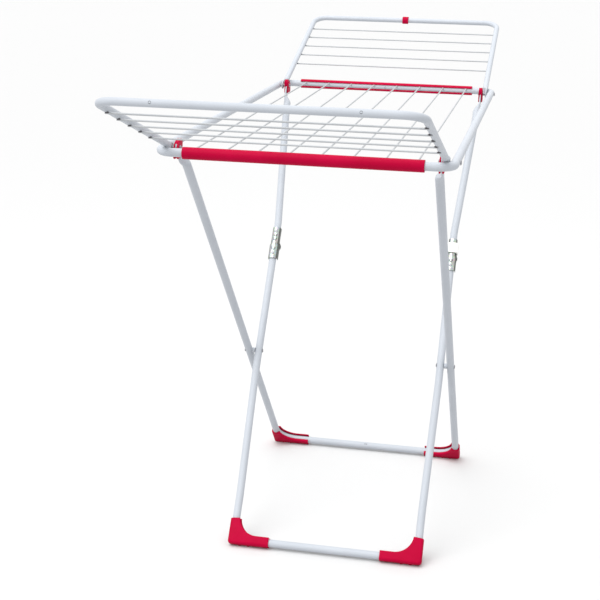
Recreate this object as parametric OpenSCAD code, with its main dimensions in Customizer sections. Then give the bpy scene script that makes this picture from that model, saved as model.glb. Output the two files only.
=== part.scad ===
// Folding clothes drying rack: tube frame with line wires, two wings and crossed folding legs.
// Axes: +X across the rack, +Y along it, +Z up. Origin on the floor under the frame centre.
// All sizes in millimetres.

/* [Top frame] */
// Outside width over the two long tubes
frame_w = 550; // [500:1:600]
// Distance between the axes of the two short tubes
frame_l = 1050; // [1000:1:1180]
// Height of the frame axis above the floor
frame_h = 940; // [860:1:1000]
// Outside diameter of the frame tube
frame_tube_d = 16; // [15:0.5:17]
// Centreline radius of the frame corners
frame_bend_r = 30; // [26:1:32]
// Distance from a short tube axis to the corner pivots
pivot_inset = 51; // [50:1:60]
// Diameter of the line wires
wire_d = 3; // [2.6:0.1:3.2]
// Number of long line wires
frame_wires = 8; // [4:2:8]
// Spacing of the long line wires
frame_wire_pitch = 58; // [40:0.5:58]
// Height of the long wires above the tube axis
frame_wire_rise = 3.4; // [2:0.1:3.5]

/* [Sleeves] */
// Distance from each end of a sleeve to the bend of the frame corner
sleeve_end_gap = 19; // [12:1:80]
// Wall of the sleeve
sleeve_wall = 3; // [2:0.1:3.5]
// Width of the sleeve slot
sleeve_slot = 10.6; // [10.5:0.1:12]

/* [Wings] */
// Distance from the wing pivot to the outer bar axis
wing_l = 430; // [400:1:450]
// Outside diameter of the wing tube
wing_tube_d = 13; // [12:0.5:15]
// Centreline radius of the wing corners
wing_bend_r = 35; // [25:1:45]
// Gap between the arms of an open wing and the frame bend under them
wing_rest_gap = 0.4; // [0.3:0.1:3]
// Number of wires on each wing
wing_wires = 5; // [2:1:5]
// Distance from the pivot to the first wing wire
wing_wire_start = 145; // [120:1:145]
// Spacing of the wing wires
wing_wire_pitch = 56; // [40:0.5:56]
// Length by which a wing wire passes the arm axis
wing_wire_over = 4; // [2:0.5:6]
// Spread of the two drilled holes in the near outer bar
wing_hole_spread = 320; // [200:1:360]

/* [Legs] */
// Outside diameter of the leg tube
leg_tube_d = 17; // [15:0.5:17]
// Distance of the near legs' floor bar from the centre
near_foot_y = 397; // [370:1:410]
// Distance of the far legs' floor bar from the centre
far_foot_y = 202; // [180:1:215]
// Height of the floor bar axis
floor_bar_h = 13; // [13:0.5:16]
// Centreline radius of the leg corners
leg_bend_r = 52; // [45:1:55]
// Gap between an outer and an inner leg tube where they cross
leg_pair_gap = 6.5; // [6:0.1:10]
// Distance by which the inner leg tubes draw in towards the floor
foot_draw_in = 7; // [5:0.5:15]
// Width of a flattened leg top
leg_flat_w = 24; // [20:0.5:25]
// Length over which a leg tube flattens
leg_flat_run = 24; // [20:1:30]

/* [Leg hinge] */
// Offset of the hinge pin from the tube axis
pin_offset = 10; // [10:0.1:11]
// Diameter of the hinge pin
pin_d = 6; // [5:0.1:6]
// Length of the upper bracket above the pin
bracket_up = 44; // [40:1:50]
// Length of the lower bracket below the pin
bracket_down = 36; // [30:1:45]
// Sheet thickness of the brackets
bracket_t = 1.3; // [1:0.1:1.3]
// Length of the lock ring along the leg
ring_l = 24; // [18:1:26]

/* [Foot covers] */
// Length of a cover along the floor bar
cover_bar_l = 93; // [75:1:105]
// Length of a cover along the leg
cover_leg_l = 58; // [50:1:65]
// Thickness of a cover across the tube
cover_t = 22; // [21:0.5:22]
// Radius of the outer corner of a cover
cover_corner_r = 7; // [4:0.5:9]

/* [Fasteners] */
// Diameter of the pivot rivets
rivet_d = 5; // [4:0.1:5.5]
// Diameter of a pivot rivet head
rivet_head_d = 9.5; // [8:0.1:11]
// Thickness of a rivet head
rivet_head_t = 2; // [1.5:0.1:2.5]
// Diameter of the crossing spacers
spacer_d = 12; // [9:0.5:14]

/* [Hidden] */
$fn = 64;
hull_fn = 32;
eps = 0.01;
white = [0.93, 0.94, 0.96];
red = [0.80, 0.05, 0.18];
zinc = [0.72, 0.73, 0.74];
dark = [0.35, 0.35, 0.37];
ivory = [0.95, 0.95, 0.92];
run_gap = 0.05;
side_gap = 0.3;
seat_gap = 0.1;
frame_x = (frame_w - frame_tube_d) / 2;
frame_y = frame_l / 2;
pivot_y = frame_y - pivot_inset;
wire_end_y = frame_y - 3;
sleeve_l = 2 * (frame_x - frame_bend_r - sleeve_end_gap);
rivet_bore = rivet_d + 2 * run_gap;
hole_d = 4;
hole_deep = 6;
wing_x = frame_x - frame_tube_d / 2 - 0.5 - wing_tube_d / 2;
arm_flat_t = 3;
arm_flat_x = wing_x + 3.25;
arm_flat_w = wing_tube_d * 1.4;
arm_flat_end = 13;
arm_start = 34;
arm_lap = 0.5;
rest_side = wing_tube_d / 4;
rest_turn = asin((wing_x + rest_side - frame_x + frame_bend_r) / frame_bend_r);
rest_reach = pivot_inset - frame_bend_r * (1 - cos(rest_turn));
rest_height = sqrt(pow((frame_tube_d + wing_tube_d) / 2 + wing_rest_gap, 2) - pow(rest_side, 2));
wing_tilt = asin(rest_height / rest_reach);
wing_wire_z = -(wing_tube_d + wire_d) / 2 + 0.5;
wing_wire_x = wing_x + wing_wire_over;
outer_leg_x = wing_x - (wing_tube_d + leg_tube_d) / 2 - side_gap;
inner_leg_x = outer_leg_x - leg_tube_d - leg_pair_gap;
inner_foot_x = inner_leg_x - foot_draw_in;
leg_flat_t = 3;
leg_flat_x = outer_leg_x + leg_tube_d / 2 - 2;
leg_flat_end = 28;
leg_start = leg_flat_end + leg_flat_run;
cap_t = 9;
cap_r = 16;
cap_drop = 21;
cap_slot = leg_flat_t + 0.4;
cap_wall = 3;
leg_drop = frame_h - floor_bar_h;
near_reach = pivot_y + near_foot_y;
far_reach = pivot_y + far_foot_y;
near_angle = atan2(leg_drop, near_reach);
far_angle = atan2(leg_drop, far_reach);
near_len = norm([leg_drop, near_reach]);
far_len = norm([leg_drop, far_reach]);
cross_share = 2 * pivot_y / (near_reach + far_reach);
near_cross = cross_share * near_len;
far_cross = cross_share * far_len;
elbow = (2 * pivot_y - near_cross + far_cross) / 2;
elbow_gap = 4;
elbow_straight = 60;
top_straight = 12;
kink_swell = 0.1;
foot_straight = 45;
spacer_in = inner_leg_x + leg_tube_d / 2 + side_gap;
spacer_out = outer_leg_x - leg_tube_d / 2;
upper_r = leg_tube_d / 2 + seat_gap;
upper_out = upper_r + bracket_t;
lower_r = upper_out + side_gap;
lower_out = lower_r + bracket_t;
cheek_drop = 6;
ear_r = 6.5;
web_gap = 0.5;
pin_bore = pin_d + 2 * run_gap;
pin_head_d = 9;
pin_head_t = 1.7;
pin_end = lower_out + seat_gap + pin_head_t;
small_rivet_d = 3.8;
small_head_d = 7;
small_head_t = 1.2;
small_deep = 5;
small_rivet_y = 33;
low_rivet_y = 24;
ring_start = ear_r + 1.8;
ring_wall = 3.7;
ring_in = upper_out + 0.4;
ring_out = ring_in + ring_wall;
ring_floor = leg_tube_d / 2 + 0.4;
ring_floor_t = 1.8;
ring_groove_w = small_head_d + 1;
ring_groove_z = upper_out + small_head_t + 0.6;
ring_edge_r = 5;
clip_w = 16;
clip_d = 20;
clip_slot = 9;
cover_edge_r = 8;
cover_half = cover_t / 2;
cover_bore = leg_tube_d + 2 * seat_gap;
slot_low = 4;
slot_high = 8;
nub_d = 8;
nub_h = 6;
nub_gap = 20;
nub_in = 14;

// ---- placing ----

// Runs the children once as they are and once mirrored across the middle.
module both_sides() {
    children();
    mirror([1, 0, 0]) children();
}

// Local +Y runs down a near leg from its pivot.
module near_leg_place() {
    translate([0, -pivot_y, frame_h]) rotate([-near_angle, 0, 0]) children();
}

// Local +Y runs down a far leg from its pivot.
module far_leg_place() {
    translate([0, pivot_y, frame_h]) rotate([far_angle, 0, 0]) mirror([0, 1, 0]) children();
}

// Local +Y runs out along a near wing arm from its pivot.
module near_wing_place() {
    translate([0, -pivot_y, frame_h]) rotate([-wing_tilt, 0, 0]) mirror([0, 1, 0]) children();
}

// Local +Y runs out along a far wing arm from its pivot.
module far_wing_place() {
    translate([0, pivot_y, frame_h]) rotate([wing_tilt, 0, 0]) children();
}

// ---- shared shapes ----

// Unit direction between two points of a path.
function heading(a, b) = (b - a) / norm(b - a);

// Left turn at a path point, in degrees.
function turn(a, b, c) =
    let (u = heading(a, b), v = heading(b, c))
    atan2(u[0] * v[1] - u[1] * v[0], u[0] * v[0] + u[1] * v[1]);

// Length a bend takes from the straight on either side of a path point.
function take(path, radii, i) =
    (i == 0 || i == len(path) - 1) ? 0
    : radii[i] * tan(turn(path[i - 1], path[i], path[i + 1]) / 2);

// Round bar along a flat path that bends left only; radii holds one bend radius per point,
// and a radius of 0 makes a kink with a ball in it.
module pipe(path, radii, d) {
    last = len(path) - 1;
    for (i = [0:last - 1]) {
        u = heading(path[i], path[i + 1]);
        start = path[i] + u * take(path, radii, i);
        length = norm(path[i + 1] - path[i]) - take(path, radii, i) - take(path, radii, i + 1);
        translate([start[0], start[1], 0])
            rotate([0, 0, atan2(u[1], u[0])])
                rotate([0, 90, 0])
                    cylinder(d = d, h = length);
    }
    for (i = [1:last - 1]) {
        u = heading(path[i - 1], path[i]);
        centre = path[i] - u * take(path, radii, i) + radii[i] * [-u[1], u[0]];
        if (radii[i] > 0)
            translate([centre[0], centre[1], 0])
                rotate([0, 0, atan2(-u[0], u[1])])
                    rotate_extrude(angle = turn(path[i - 1], path[i], path[i + 1]))
                        translate([radii[i], 0])
                            circle(d = d);
        else
            translate([path[i][0], path[i][1], 0]) sphere(d = d + kink_swell);
    }
}

// Cylinder along X between two X values at a point of the YZ plane.
module cross_pin(x1, x2, y, z, d) {
    translate([x1, y, z]) rotate([0, 90, 0]) cylinder(d = d, h = x2 - x1);
}

// Flattened tube end around a pivot on X, running into a round tube at y = start.
module flat_end(tube_x, plate_x, plate_t, plate_w, plate_end, start, tube_d) {
    cross_pin(plate_x - plate_t / 2, plate_x + plate_t / 2, 0, 0, plate_w);
    translate([plate_x - plate_t / 2, 0, -plate_w / 2]) cube([plate_t, plate_end, plate_w]);
    hull() {
        translate([plate_x - plate_t / 2, plate_end - 1, -plate_w / 2])
            cube([plate_t, 1, plate_w]);
        translate([tube_x, start, 0])
            rotate([90, 0, 0])
                cylinder(d = tube_d, h = 1, $fn = hull_fn);
    }
}

// Flat rounded rectangle about the origin.
module rounded_rect(w, h, r) {
    square([w - 2 * r, h], center = true);
    square([w, h - 2 * r], center = true);
    for (x = [-1, 1], y = [-1, 1])
        translate([x * (w / 2 - r), y * (h / 2 - r)]) circle(r = r);
}

// ---- top frame ----

module main_frame_tube() {
    loop = [[frame_x, 0], [frame_x, frame_y], [-frame_x, frame_y], [-frame_x, -frame_y],
            [frame_x, -frame_y], [frame_x, 0]];
    color(white) difference() {
        translate([0, 0, frame_h])
            pipe(loop, [0, frame_bend_r, frame_bend_r, frame_bend_r, frame_bend_r, 0],
                 frame_tube_d);
        for (i = [0:frame_wires - 1], s = [-1, 1])
            translate([(i - (frame_wires - 1) / 2) * frame_wire_pitch,
                       s * (wire_end_y - 5), frame_h + frame_wire_rise])
                rotate([90, 0, 0])
                    cylinder(d = wire_d + 2 * seat_gap, h = 11, center = true);
        for (s = [-1, 1])
            cross_pin(-frame_w, frame_w, s * pivot_y, frame_h, rivet_bore);
        translate([0, frame_y - frame_tube_d / 2 + hole_deep, frame_h])
            rotate([90, 0, 0])
                cylinder(d = hole_d, h = 2 * hole_deep);
    }
}

module main_wires() {
    color(white)
        for (i = [0:frame_wires - 1])
            translate([(i - (frame_wires - 1) / 2) * frame_wire_pitch, 0,
                       frame_h + frame_wire_rise])
                rotate([90, 0, 0])
                    cylinder(d = wire_d, h = 2 * wire_end_y, center = true);
}

// Snap-on C sleeve with its slot towards +Y.
module sleeve() {
    bore = frame_tube_d + 2 * seat_gap;
    color(red)
        rotate([0, 0, 90]) rotate([90, 0, 0])
            linear_extrude(height = sleeve_l, center = true)
                difference() {
                    circle(d = bore + 2 * sleeve_wall);
                    circle(d = bore);
                    translate([0, -sleeve_slot / 2]) square([frame_tube_d, sleeve_slot]);
                }
}

module near_sleeve() {
    translate([0, -frame_y, frame_h]) sleeve();
}

module far_sleeve() {
    translate([0, frame_y, frame_h]) mirror([0, 1, 0]) sleeve();
}

module corner_rivets() {
    outer = frame_x + frame_tube_d / 2 + seat_gap;
    inner = leg_flat_x - cap_t / 2 - seat_gap;
    color(dark)
        for (s = [-1, 1])
            both_sides() {
                cross_pin(inner - rivet_head_t, outer + rivet_head_t, s * pivot_y, frame_h,
                          rivet_d);
                cross_pin(inner - rivet_head_t, inner, s * pivot_y, frame_h, rivet_head_d);
                cross_pin(outer, outer + rivet_head_t, s * pivot_y, frame_h, rivet_head_d);
            }
}

// ---- wings ----

module wing_wire(i, d, reach) {
    cross_pin(-reach, reach, wing_wire_start + i * wing_wire_pitch, wing_wire_z, d);
}

module wing_tube() {
    path = [[wing_x, arm_start - arm_lap], [wing_x, wing_l], [-wing_x, wing_l],
            [-wing_x, arm_start - arm_lap]];
    difference() {
        union() {
            pipe(path, [0, wing_bend_r, wing_bend_r, 0], wing_tube_d);
            both_sides()
                flat_end(wing_x, arm_flat_x, arm_flat_t, arm_flat_w, arm_flat_end, arm_start,
                         wing_tube_d);
        }
        for (i = [0:wing_wires - 1]) wing_wire(i, wire_d, frame_w);
        cross_pin(-frame_w, frame_w, 0, 0, rivet_bore);
    }
}

module wing_wire_set() {
    for (i = [0:wing_wires - 1]) wing_wire(i, wire_d, wing_wire_x);
}

module near_wing_tube() {
    color(white) near_wing_place() difference() {
        wing_tube();
        both_sides()
            translate([wing_hole_spread / 2, wing_l + wing_tube_d / 2 + hole_deep, 0])
                rotate([90, 0, 0])
                    cylinder(d = hole_d, h = 2 * hole_deep);
    }
}

module near_wing_wires() {
    color(white) near_wing_place() wing_wire_set();
}

module far_wing_tube() {
    color(white) far_wing_place() wing_tube();
}

module far_wing_wires() {
    color(white) far_wing_place() wing_wire_set();
}

module wing_clip() {
    color(red) far_wing_place()
        translate([-clip_w / 2, wing_l, 0])
            rotate([90, 0, 90])
                linear_extrude(height = clip_w)
                    difference() {
                        circle(d = clip_d);
                        circle(d = wing_tube_d + 2 * seat_gap);
                        translate([-clip_slot / 2, -clip_d]) square([clip_slot, clip_d]);
                    }
}

// ---- legs ----

// Fork cap upright over a corner pivot; the leg leaves it at the given world angle.
module leg_cap(angle) {
    x1 = leg_flat_x - cap_t / 2;
    slot_r = leg_flat_w / 2 + 0.5;
    difference() {
        union() {
            cross_pin(x1, x1 + cap_t, 0, 0, 2 * cap_r);
            translate([x1, -cap_r, -cap_drop]) cube([cap_t, 2 * cap_r, cap_drop]);
        }
        translate([leg_flat_x - cap_slot / 2, 0, 0]) rotate([angle, 0, 0]) {
            cross_pin(0, cap_slot, 0, 0, 2 * slot_r);
            translate([0, 0, -slot_r]) cube([cap_slot, 2 * cap_r + cap_drop, 2 * slot_r]);
        }
        cross_pin(x1 - 1, x1 + cap_t + 1, 0, 0, rivet_bore);
    }
}

// Red foot cover on the right corner of a U-shaped leg of half width x and length y.
module foot_cover(x, y) {
    bar_in = x + cover_half - cover_bar_l;
    leg_in = y + cover_half - cover_leg_l;
    fillet = leg_bend_r - cover_half;
    difference() {
        intersection() {
            union() {
                translate([bar_in, y, 0]) rotate([90, 0, 90])
                    linear_extrude(height = cover_bar_l)
                        rounded_rect(cover_t, cover_t, cover_edge_r);
                translate([x, leg_in, 0]) rotate([-90, 0, 0])
                    linear_extrude(height = cover_leg_l)
                        rounded_rect(cover_t, cover_t, cover_edge_r);
                translate([x - cover_half - fillet, y - cover_half - fillet, -cover_half + 2])
                    cube([fillet + 2, fillet + 2, cover_t - 4]);
            }
            translate([0, 0, -cover_t]) linear_extrude(height = 2 * cover_t) difference() {
                union() {
                    translate([bar_in, leg_in])
                        square([cover_bar_l - cover_corner_r, cover_leg_l]);
                    translate([bar_in, leg_in])
                        square([cover_bar_l, cover_leg_l - cover_corner_r]);
                    translate([x + cover_half - cover_corner_r, y + cover_half - cover_corner_r])
                        circle(r = cover_corner_r);
                }
                translate([bar_in - 1, leg_in - 1])
                    square([x - cover_half - fillet - bar_in + 1, y - cover_half - leg_in + 1]);
                translate([bar_in - 1, leg_in - 1])
                    square([x - cover_half - bar_in + 1, y - cover_half - fillet - leg_in + 1]);
                translate([x - leg_bend_r, y - leg_bend_r]) circle(r = fillet);
            }
        }
        pipe([[x, 0], [x, y], [0, y]], [0, leg_bend_r, 0], cover_bore);
        translate([0, 0, -slot_low]) cube([x, y, slot_low + slot_high]);
    }
}

// Two stubs under a foot cover that touch the floor.
module foot_nubs(x, y) {
    translate([0, y, 0])
        for (i = [0, 1])
            difference() {
                translate([x - nub_in - i * nub_gap, 0, 0]) cylinder(d = nub_d, h = nub_h);
                cross_pin(0, frame_w, 0, floor_bar_h, cover_bore);
            }
}

module near_leg_tube() {
    path = [[outer_leg_x, leg_start - eps], [outer_leg_x, near_len], [-outer_leg_x, near_len],
            [-outer_leg_x, leg_start - eps]];
    color(white) near_leg_place() difference() {
        union() {
            pipe(path, [0, leg_bend_r, leg_bend_r, 0], leg_tube_d);
            both_sides()
                flat_end(outer_leg_x, leg_flat_x, leg_flat_t, leg_flat_w, leg_flat_end,
                         leg_start, leg_tube_d);
        }
        cross_pin(-frame_w, frame_w, 0, 0, rivet_bore);
        cross_pin(-frame_w, frame_w, near_cross, 0, rivet_bore);
        translate([0, near_len - leg_tube_d / 2 + hole_deep, 0])
            rotate([90, 0, 0])
                cylinder(d = hole_d, h = 2 * hole_deep);
    }
}

module near_leg_cap_right() {
    color(red) translate([0, -pivot_y, frame_h]) leg_cap(-near_angle);
}

module near_leg_cap_left() {
    color(red) translate([0, -pivot_y, frame_h]) mirror([1, 0, 0]) leg_cap(-near_angle);
}

module crossing_rivets() {
    head = outer_leg_x + leg_tube_d / 2 + seat_gap;
    color(dark) near_leg_place() both_sides() {
        cross_pin(spacer_in, head, near_cross, 0, rivet_d);
        cross_pin(head, head + rivet_head_t, near_cross, 0, rivet_head_d);
    }
}

module crossing_spacers() {
    color(white) near_leg_place() both_sides()
        difference() {
            cross_pin(spacer_in, spacer_out, near_cross, 0, spacer_d);
            cross_pin(spacer_in - 1, spacer_out + 1, near_cross, 0, rivet_bore);
        }
}

module near_leg_foot_right() {
    color(red) {
        near_leg_place() foot_cover(outer_leg_x, near_len);
        foot_nubs(outer_leg_x, near_foot_y);
    }
}

module near_leg_foot_left() {
    mirror([1, 0, 0]) near_leg_foot_right();
}

// Upper part of the right far leg, from its flattened top to the hinge.
module far_leg_upper() {
    path = [[inner_leg_x, elbow - elbow_gap], [inner_leg_x, elbow - elbow_straight],
            [outer_leg_x, leg_start + top_straight], [outer_leg_x, leg_start - eps]];
    color(white) far_leg_place() difference() {
        union() {
            pipe(path, [0, 0, 0, 0], leg_tube_d);
            flat_end(outer_leg_x, leg_flat_x, leg_flat_t, leg_flat_w, leg_flat_end, leg_start,
                     leg_tube_d);
        }
        cross_pin(0, frame_w, 0, 0, rivet_bore);
        translate([inner_leg_x, elbow - small_rivet_y, upper_r - small_deep])
            cylinder(d = small_rivet_d + 2 * seat_gap, h = 2 * small_deep);
    }
}

module far_leg_upper_right() {
    far_leg_upper();
}

module far_leg_upper_left() {
    mirror([1, 0, 0]) far_leg_upper();
}

module far_leg_cap_right() {
    color(red) translate([0, pivot_y, frame_h]) mirror([0, 1, 0]) leg_cap(-far_angle);
}

module far_leg_cap_left() {
    mirror([1, 0, 0]) far_leg_cap_right();
}

// Channel of inner radius r wrapped over the +Z side of a leg tube, cut to a side outline.
module bracket(r, y1, y2) {
    difference() {
        intersection() {
            translate([inner_leg_x, elbow + bracket_down, 0]) rotate([90, 0, 0])
                linear_extrude(height = bracket_up + bracket_down)
                    difference() {
                        union() {
                            circle(r = r + bracket_t);
                            translate([-r - bracket_t, -2 * ear_r - pin_offset])
                                square([2 * (r + bracket_t), 2 * ear_r + pin_offset]);
                        }
                        circle(r = r);
                        translate([-r, -2 * ear_r - pin_offset - 1])
                            square([2 * r, 2 * ear_r + pin_offset + 1]);
                    }
            union() {
                translate([inner_leg_x - lower_out - 1, y1, -cheek_drop])
                    cube([2 * lower_out + 2, y2 - y1, cheek_drop + lower_out + 1]);
                cross_pin(inner_leg_x - lower_out - 1, inner_leg_x + lower_out + 1, elbow,
                          -pin_offset, 2 * ear_r);
                translate([inner_leg_x - lower_out - 1, elbow - ear_r, -pin_offset])
                    cube([2 * lower_out + 2, 2 * ear_r, pin_offset - cheek_drop + 1]);
            }
        }
        cross_pin(0, frame_w, elbow, -pin_offset, pin_bore);
    }
}

module hinge_upper_right() {
    color(zinc) far_leg_place() difference() {
        bracket(upper_r, elbow - bracket_up, elbow - web_gap);
        translate([inner_leg_x, elbow - small_rivet_y, 0])
            cylinder(d = small_rivet_d + 2 * seat_gap, h = 2 * leg_tube_d);
    }
}

module hinge_upper_left() {
    mirror([1, 0, 0]) hinge_upper_right();
}

module upper_hinge_rivets() {
    color(dark) far_leg_place() both_sides()
        translate([inner_leg_x, elbow - small_rivet_y, 0]) {
            translate([0, 0, upper_r - small_deep + 0.5])
                cylinder(d = small_rivet_d, h = small_deep + bracket_t);
            translate([0, 0, upper_out + 0.05]) cylinder(d = small_head_d, h = small_head_t);
        }
}

module far_leg_lower_tube() {
    foot = far_len - cover_leg_l - foot_straight;
    path = [[inner_leg_x, elbow + elbow_gap], [inner_leg_x, far_cross + foot_straight],
            [inner_foot_x, foot], [inner_foot_x, far_len], [-inner_foot_x, far_len],
            [-inner_foot_x, foot], [-inner_leg_x, far_cross + foot_straight],
            [-inner_leg_x, elbow + elbow_gap]];
    color(white) far_leg_place() difference() {
        pipe(path, [0, 0, 0, leg_bend_r, leg_bend_r, 0, 0, 0], leg_tube_d);
        cross_pin(-frame_w, frame_w, far_cross, 0, rivet_bore);
        both_sides()
            translate([inner_leg_x, elbow + low_rivet_y, upper_r - small_deep])
                cylinder(d = small_rivet_d + 2 * seat_gap, h = 2 * small_deep);
    }
}

module hinge_lower_right() {
    color(zinc) far_leg_place() difference() {
        bracket(lower_r, elbow + web_gap, elbow + bracket_down);
        translate([inner_leg_x, elbow + low_rivet_y, 0])
            cylinder(d = small_rivet_d + 2 * seat_gap, h = 2 * leg_tube_d);
    }
}

module hinge_lower_left() {
    mirror([1, 0, 0]) hinge_lower_right();
}

module hinge_pins() {
    color(zinc) far_leg_place() both_sides() {
        cross_pin(inner_leg_x - pin_end, inner_leg_x + pin_end, elbow, -pin_offset, pin_d);
        for (s = [-1, 1])
            cross_pin(inner_leg_x + s * (pin_end - pin_head_t / 2) - pin_head_t / 2,
                      inner_leg_x + s * (pin_end - pin_head_t / 2) + pin_head_t / 2,
                      elbow, -pin_offset, pin_head_d);
    }
}

module lower_hinge_rivets() {
    color(dark) far_leg_place() both_sides()
        translate([inner_leg_x, elbow + low_rivet_y, 0]) {
            translate([0, 0, upper_r - small_deep + 0.5])
                cylinder(d = small_rivet_d, h = lower_out - upper_r + small_deep);
            translate([0, 0, lower_out + 0.05]) cylinder(d = small_head_d, h = small_head_t);
        }
}

module crossing_inner_rivets() {
    head = inner_leg_x - leg_tube_d / 2 - seat_gap;
    color(dark) far_leg_place() both_sides() {
        cross_pin(head, inner_leg_x + leg_tube_d / 2 - side_gap, far_cross, 0, rivet_d);
        cross_pin(head - rivet_head_t, head, far_cross, 0, rivet_head_d);
    }
}

module far_leg_foot_right() {
    color(red) {
        far_leg_place() foot_cover(inner_foot_x, far_len);
        foot_nubs(inner_foot_x, -far_foot_y);
    }
}

module far_leg_foot_left() {
    mirror([1, 0, 0]) far_leg_foot_right();
}

module lock_ring() {
    color(ivory) far_leg_place()
        translate([inner_leg_x, elbow - ring_start, 0]) rotate([90, 0, 0])
            linear_extrude(height = ring_l)
                difference() {
                    translate([0, (ring_out - ring_floor - ring_floor_t) / 2])
                        rounded_rect(2 * ring_out, ring_out + ring_floor + ring_floor_t,
                                     ring_edge_r);
                    circle(r = ring_in);
                    translate([-ring_in, -ring_floor]) square([2 * ring_in, ring_floor]);
                    translate([-ring_groove_w / 2, 0]) square([ring_groove_w, ring_groove_z]);
                }
}

main_frame_tube();
main_wires();
near_sleeve();
far_sleeve();
corner_rivets();
near_wing_tube();
near_wing_wires();
far_wing_tube();
far_wing_wires();
wing_clip();
near_leg_tube();
near_leg_cap_right();
near_leg_cap_left();
crossing_rivets();
crossing_spacers();
near_leg_foot_right();
near_leg_foot_left();
far_leg_upper_right();
far_leg_upper_left();
far_leg_cap_right();
far_leg_cap_left();
hinge_upper_right();
hinge_upper_left();
upper_hinge_rivets();
far_leg_lower_tube();
hinge_lower_right();
hinge_lower_left();
hinge_pins();
lower_hinge_rivets();
crossing_inner_rivets();
far_leg_foot_right();
far_leg_foot_left();
lock_ring();
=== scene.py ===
"""Looks of a folding clothes airer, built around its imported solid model."""

import logging
import math
from dataclasses import dataclass, field
from enum import Enum
from typing import Sequence

import bmesh
import bpy
import numpy as np
from mathutils import Matrix, Vector


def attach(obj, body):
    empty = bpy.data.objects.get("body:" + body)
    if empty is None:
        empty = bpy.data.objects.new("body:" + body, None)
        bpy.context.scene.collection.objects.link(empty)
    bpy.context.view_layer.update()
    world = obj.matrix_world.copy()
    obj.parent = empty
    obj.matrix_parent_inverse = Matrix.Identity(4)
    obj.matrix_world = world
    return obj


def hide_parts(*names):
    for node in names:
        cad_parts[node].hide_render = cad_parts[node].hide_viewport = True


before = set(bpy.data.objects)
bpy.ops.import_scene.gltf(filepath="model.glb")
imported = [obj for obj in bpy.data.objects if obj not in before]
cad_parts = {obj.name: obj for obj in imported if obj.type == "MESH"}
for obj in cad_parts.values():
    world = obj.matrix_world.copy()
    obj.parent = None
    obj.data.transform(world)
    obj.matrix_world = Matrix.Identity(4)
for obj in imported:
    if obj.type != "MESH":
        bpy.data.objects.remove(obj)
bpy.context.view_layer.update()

LOG = logging.getLogger("airer")
MM = 0.001


# ---------------------------------------------------------------- sizes and places


@dataclass(frozen=True)
class RackSizes:
    """Sizes of the whole airer in millimetres, shared by its sub-assemblies."""

    frame_x: float = 267.0
    frame_y: float = 525.0
    height: float = 940.0
    pivot_y: float = 474.0
    frame_r: float = 8.0
    frame_bend: float = 30.0
    wire_r: float = 1.65
    wing_tilt: float = math.radians(18.9356)
    wing_l: float = 430.0
    wing_x: float = 252.0
    wing_r: float = 6.5
    leg_r: float = 8.5
    outer_leg_x: float = 236.7
    inner_leg_x: float = 213.2
    inner_foot_x: float = 206.2
    leg_flat_x: float = 243.2
    leg_flat_w: float = 24.0
    leg_flat_end: float = 28.0
    leg_start: float = 52.0
    tube_bore: float = 7.6
    shank_r: float = 2.5
    leg_bend: float = 52.0
    bar_h: float = 13.0
    near_foot_y: float = 397.0
    far_foot_y: float = 202.0
    pin_offset: float = 10.0

    @property
    def near_angle(self) -> float:
        """Slope of the near legs below level, in radians."""
        return math.atan2(self.height - self.bar_h, self.pivot_y + self.near_foot_y)

    @property
    def far_angle(self) -> float:
        """Slope of the far legs below level, in radians."""
        return math.atan2(self.height - self.bar_h, self.pivot_y + self.far_foot_y)

    @property
    def near_len(self) -> float:
        """Length of a near leg from pivot to floor bar axis."""
        return math.hypot(self.height - self.bar_h, self.pivot_y + self.near_foot_y)

    @property
    def far_len(self) -> float:
        """Length of a far leg from pivot to floor bar axis."""
        return math.hypot(self.height - self.bar_h, self.pivot_y + self.far_foot_y)

    @property
    def cross_share(self) -> float:
        """Share of each leg's length that lies above the crossing."""
        return 2.0 * self.pivot_y / (2.0 * self.pivot_y + self.near_foot_y + self.far_foot_y)

    @property
    def near_cross(self) -> float:
        """Distance of the crossing down a near leg."""
        return self.cross_share * self.near_len

    @property
    def far_cross(self) -> float:
        """Distance of the crossing down a far leg."""
        return self.cross_share * self.far_len

    @property
    def elbow(self) -> float:
        """Distance of the leg hinge down a far leg."""
        return (2.0 * self.pivot_y - self.near_cross + self.far_cross) / 2.0


SIZES = RackSizes()


@dataclass(frozen=True)
class Place:
    """A local frame: X stays the row's X, local Y runs along `run`, local Z along `lift`."""

    origin: tuple[float, float, float]
    run: tuple[float, float, float]
    lift: tuple[float, float, float]

    def to_row(self, points: np.ndarray) -> np.ndarray:
        """Carries local points in millimetres into the row frame in metres.

        Args:
            points: Array of shape (n, 3).

        Returns:
            Array of shape (n, 3): origin + x * X + y * run + z * lift, times 0.001.
        """
        basis = np.array([(1.0, 0.0, 0.0), self.run, self.lift])
        return (np.asarray(self.origin) + points @ basis) * MM


def leg_place(side: int, angle: float) -> Place:
    """Frame of a leg pair at its corner pivots.

    Args:
        side: -1 for the near pivots, 1 for the far pivots.
        angle: Slope of the leg below level, in radians.

    Returns:
        The place, with local Y down the leg and local Z on its upper side.
    """
    c, s = math.cos(angle), math.sin(angle)
    return Place((0.0, side * SIZES.pivot_y, SIZES.height), (0.0, -side * c, -s), (0.0, -side * s, c))


def wing_place(side: int) -> Place:
    """Frame of a wing at its corner pivots, with local Y out along the arm.

    Args:
        side: -1 for the near wing, 1 for the far wing.

    Returns:
        The place of that wing.
    """
    c, s = math.cos(SIZES.wing_tilt), math.sin(SIZES.wing_tilt)
    return Place((0.0, side * SIZES.pivot_y, SIZES.height), (0.0, side * c, s), (0.0, -side * s, c))


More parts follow.
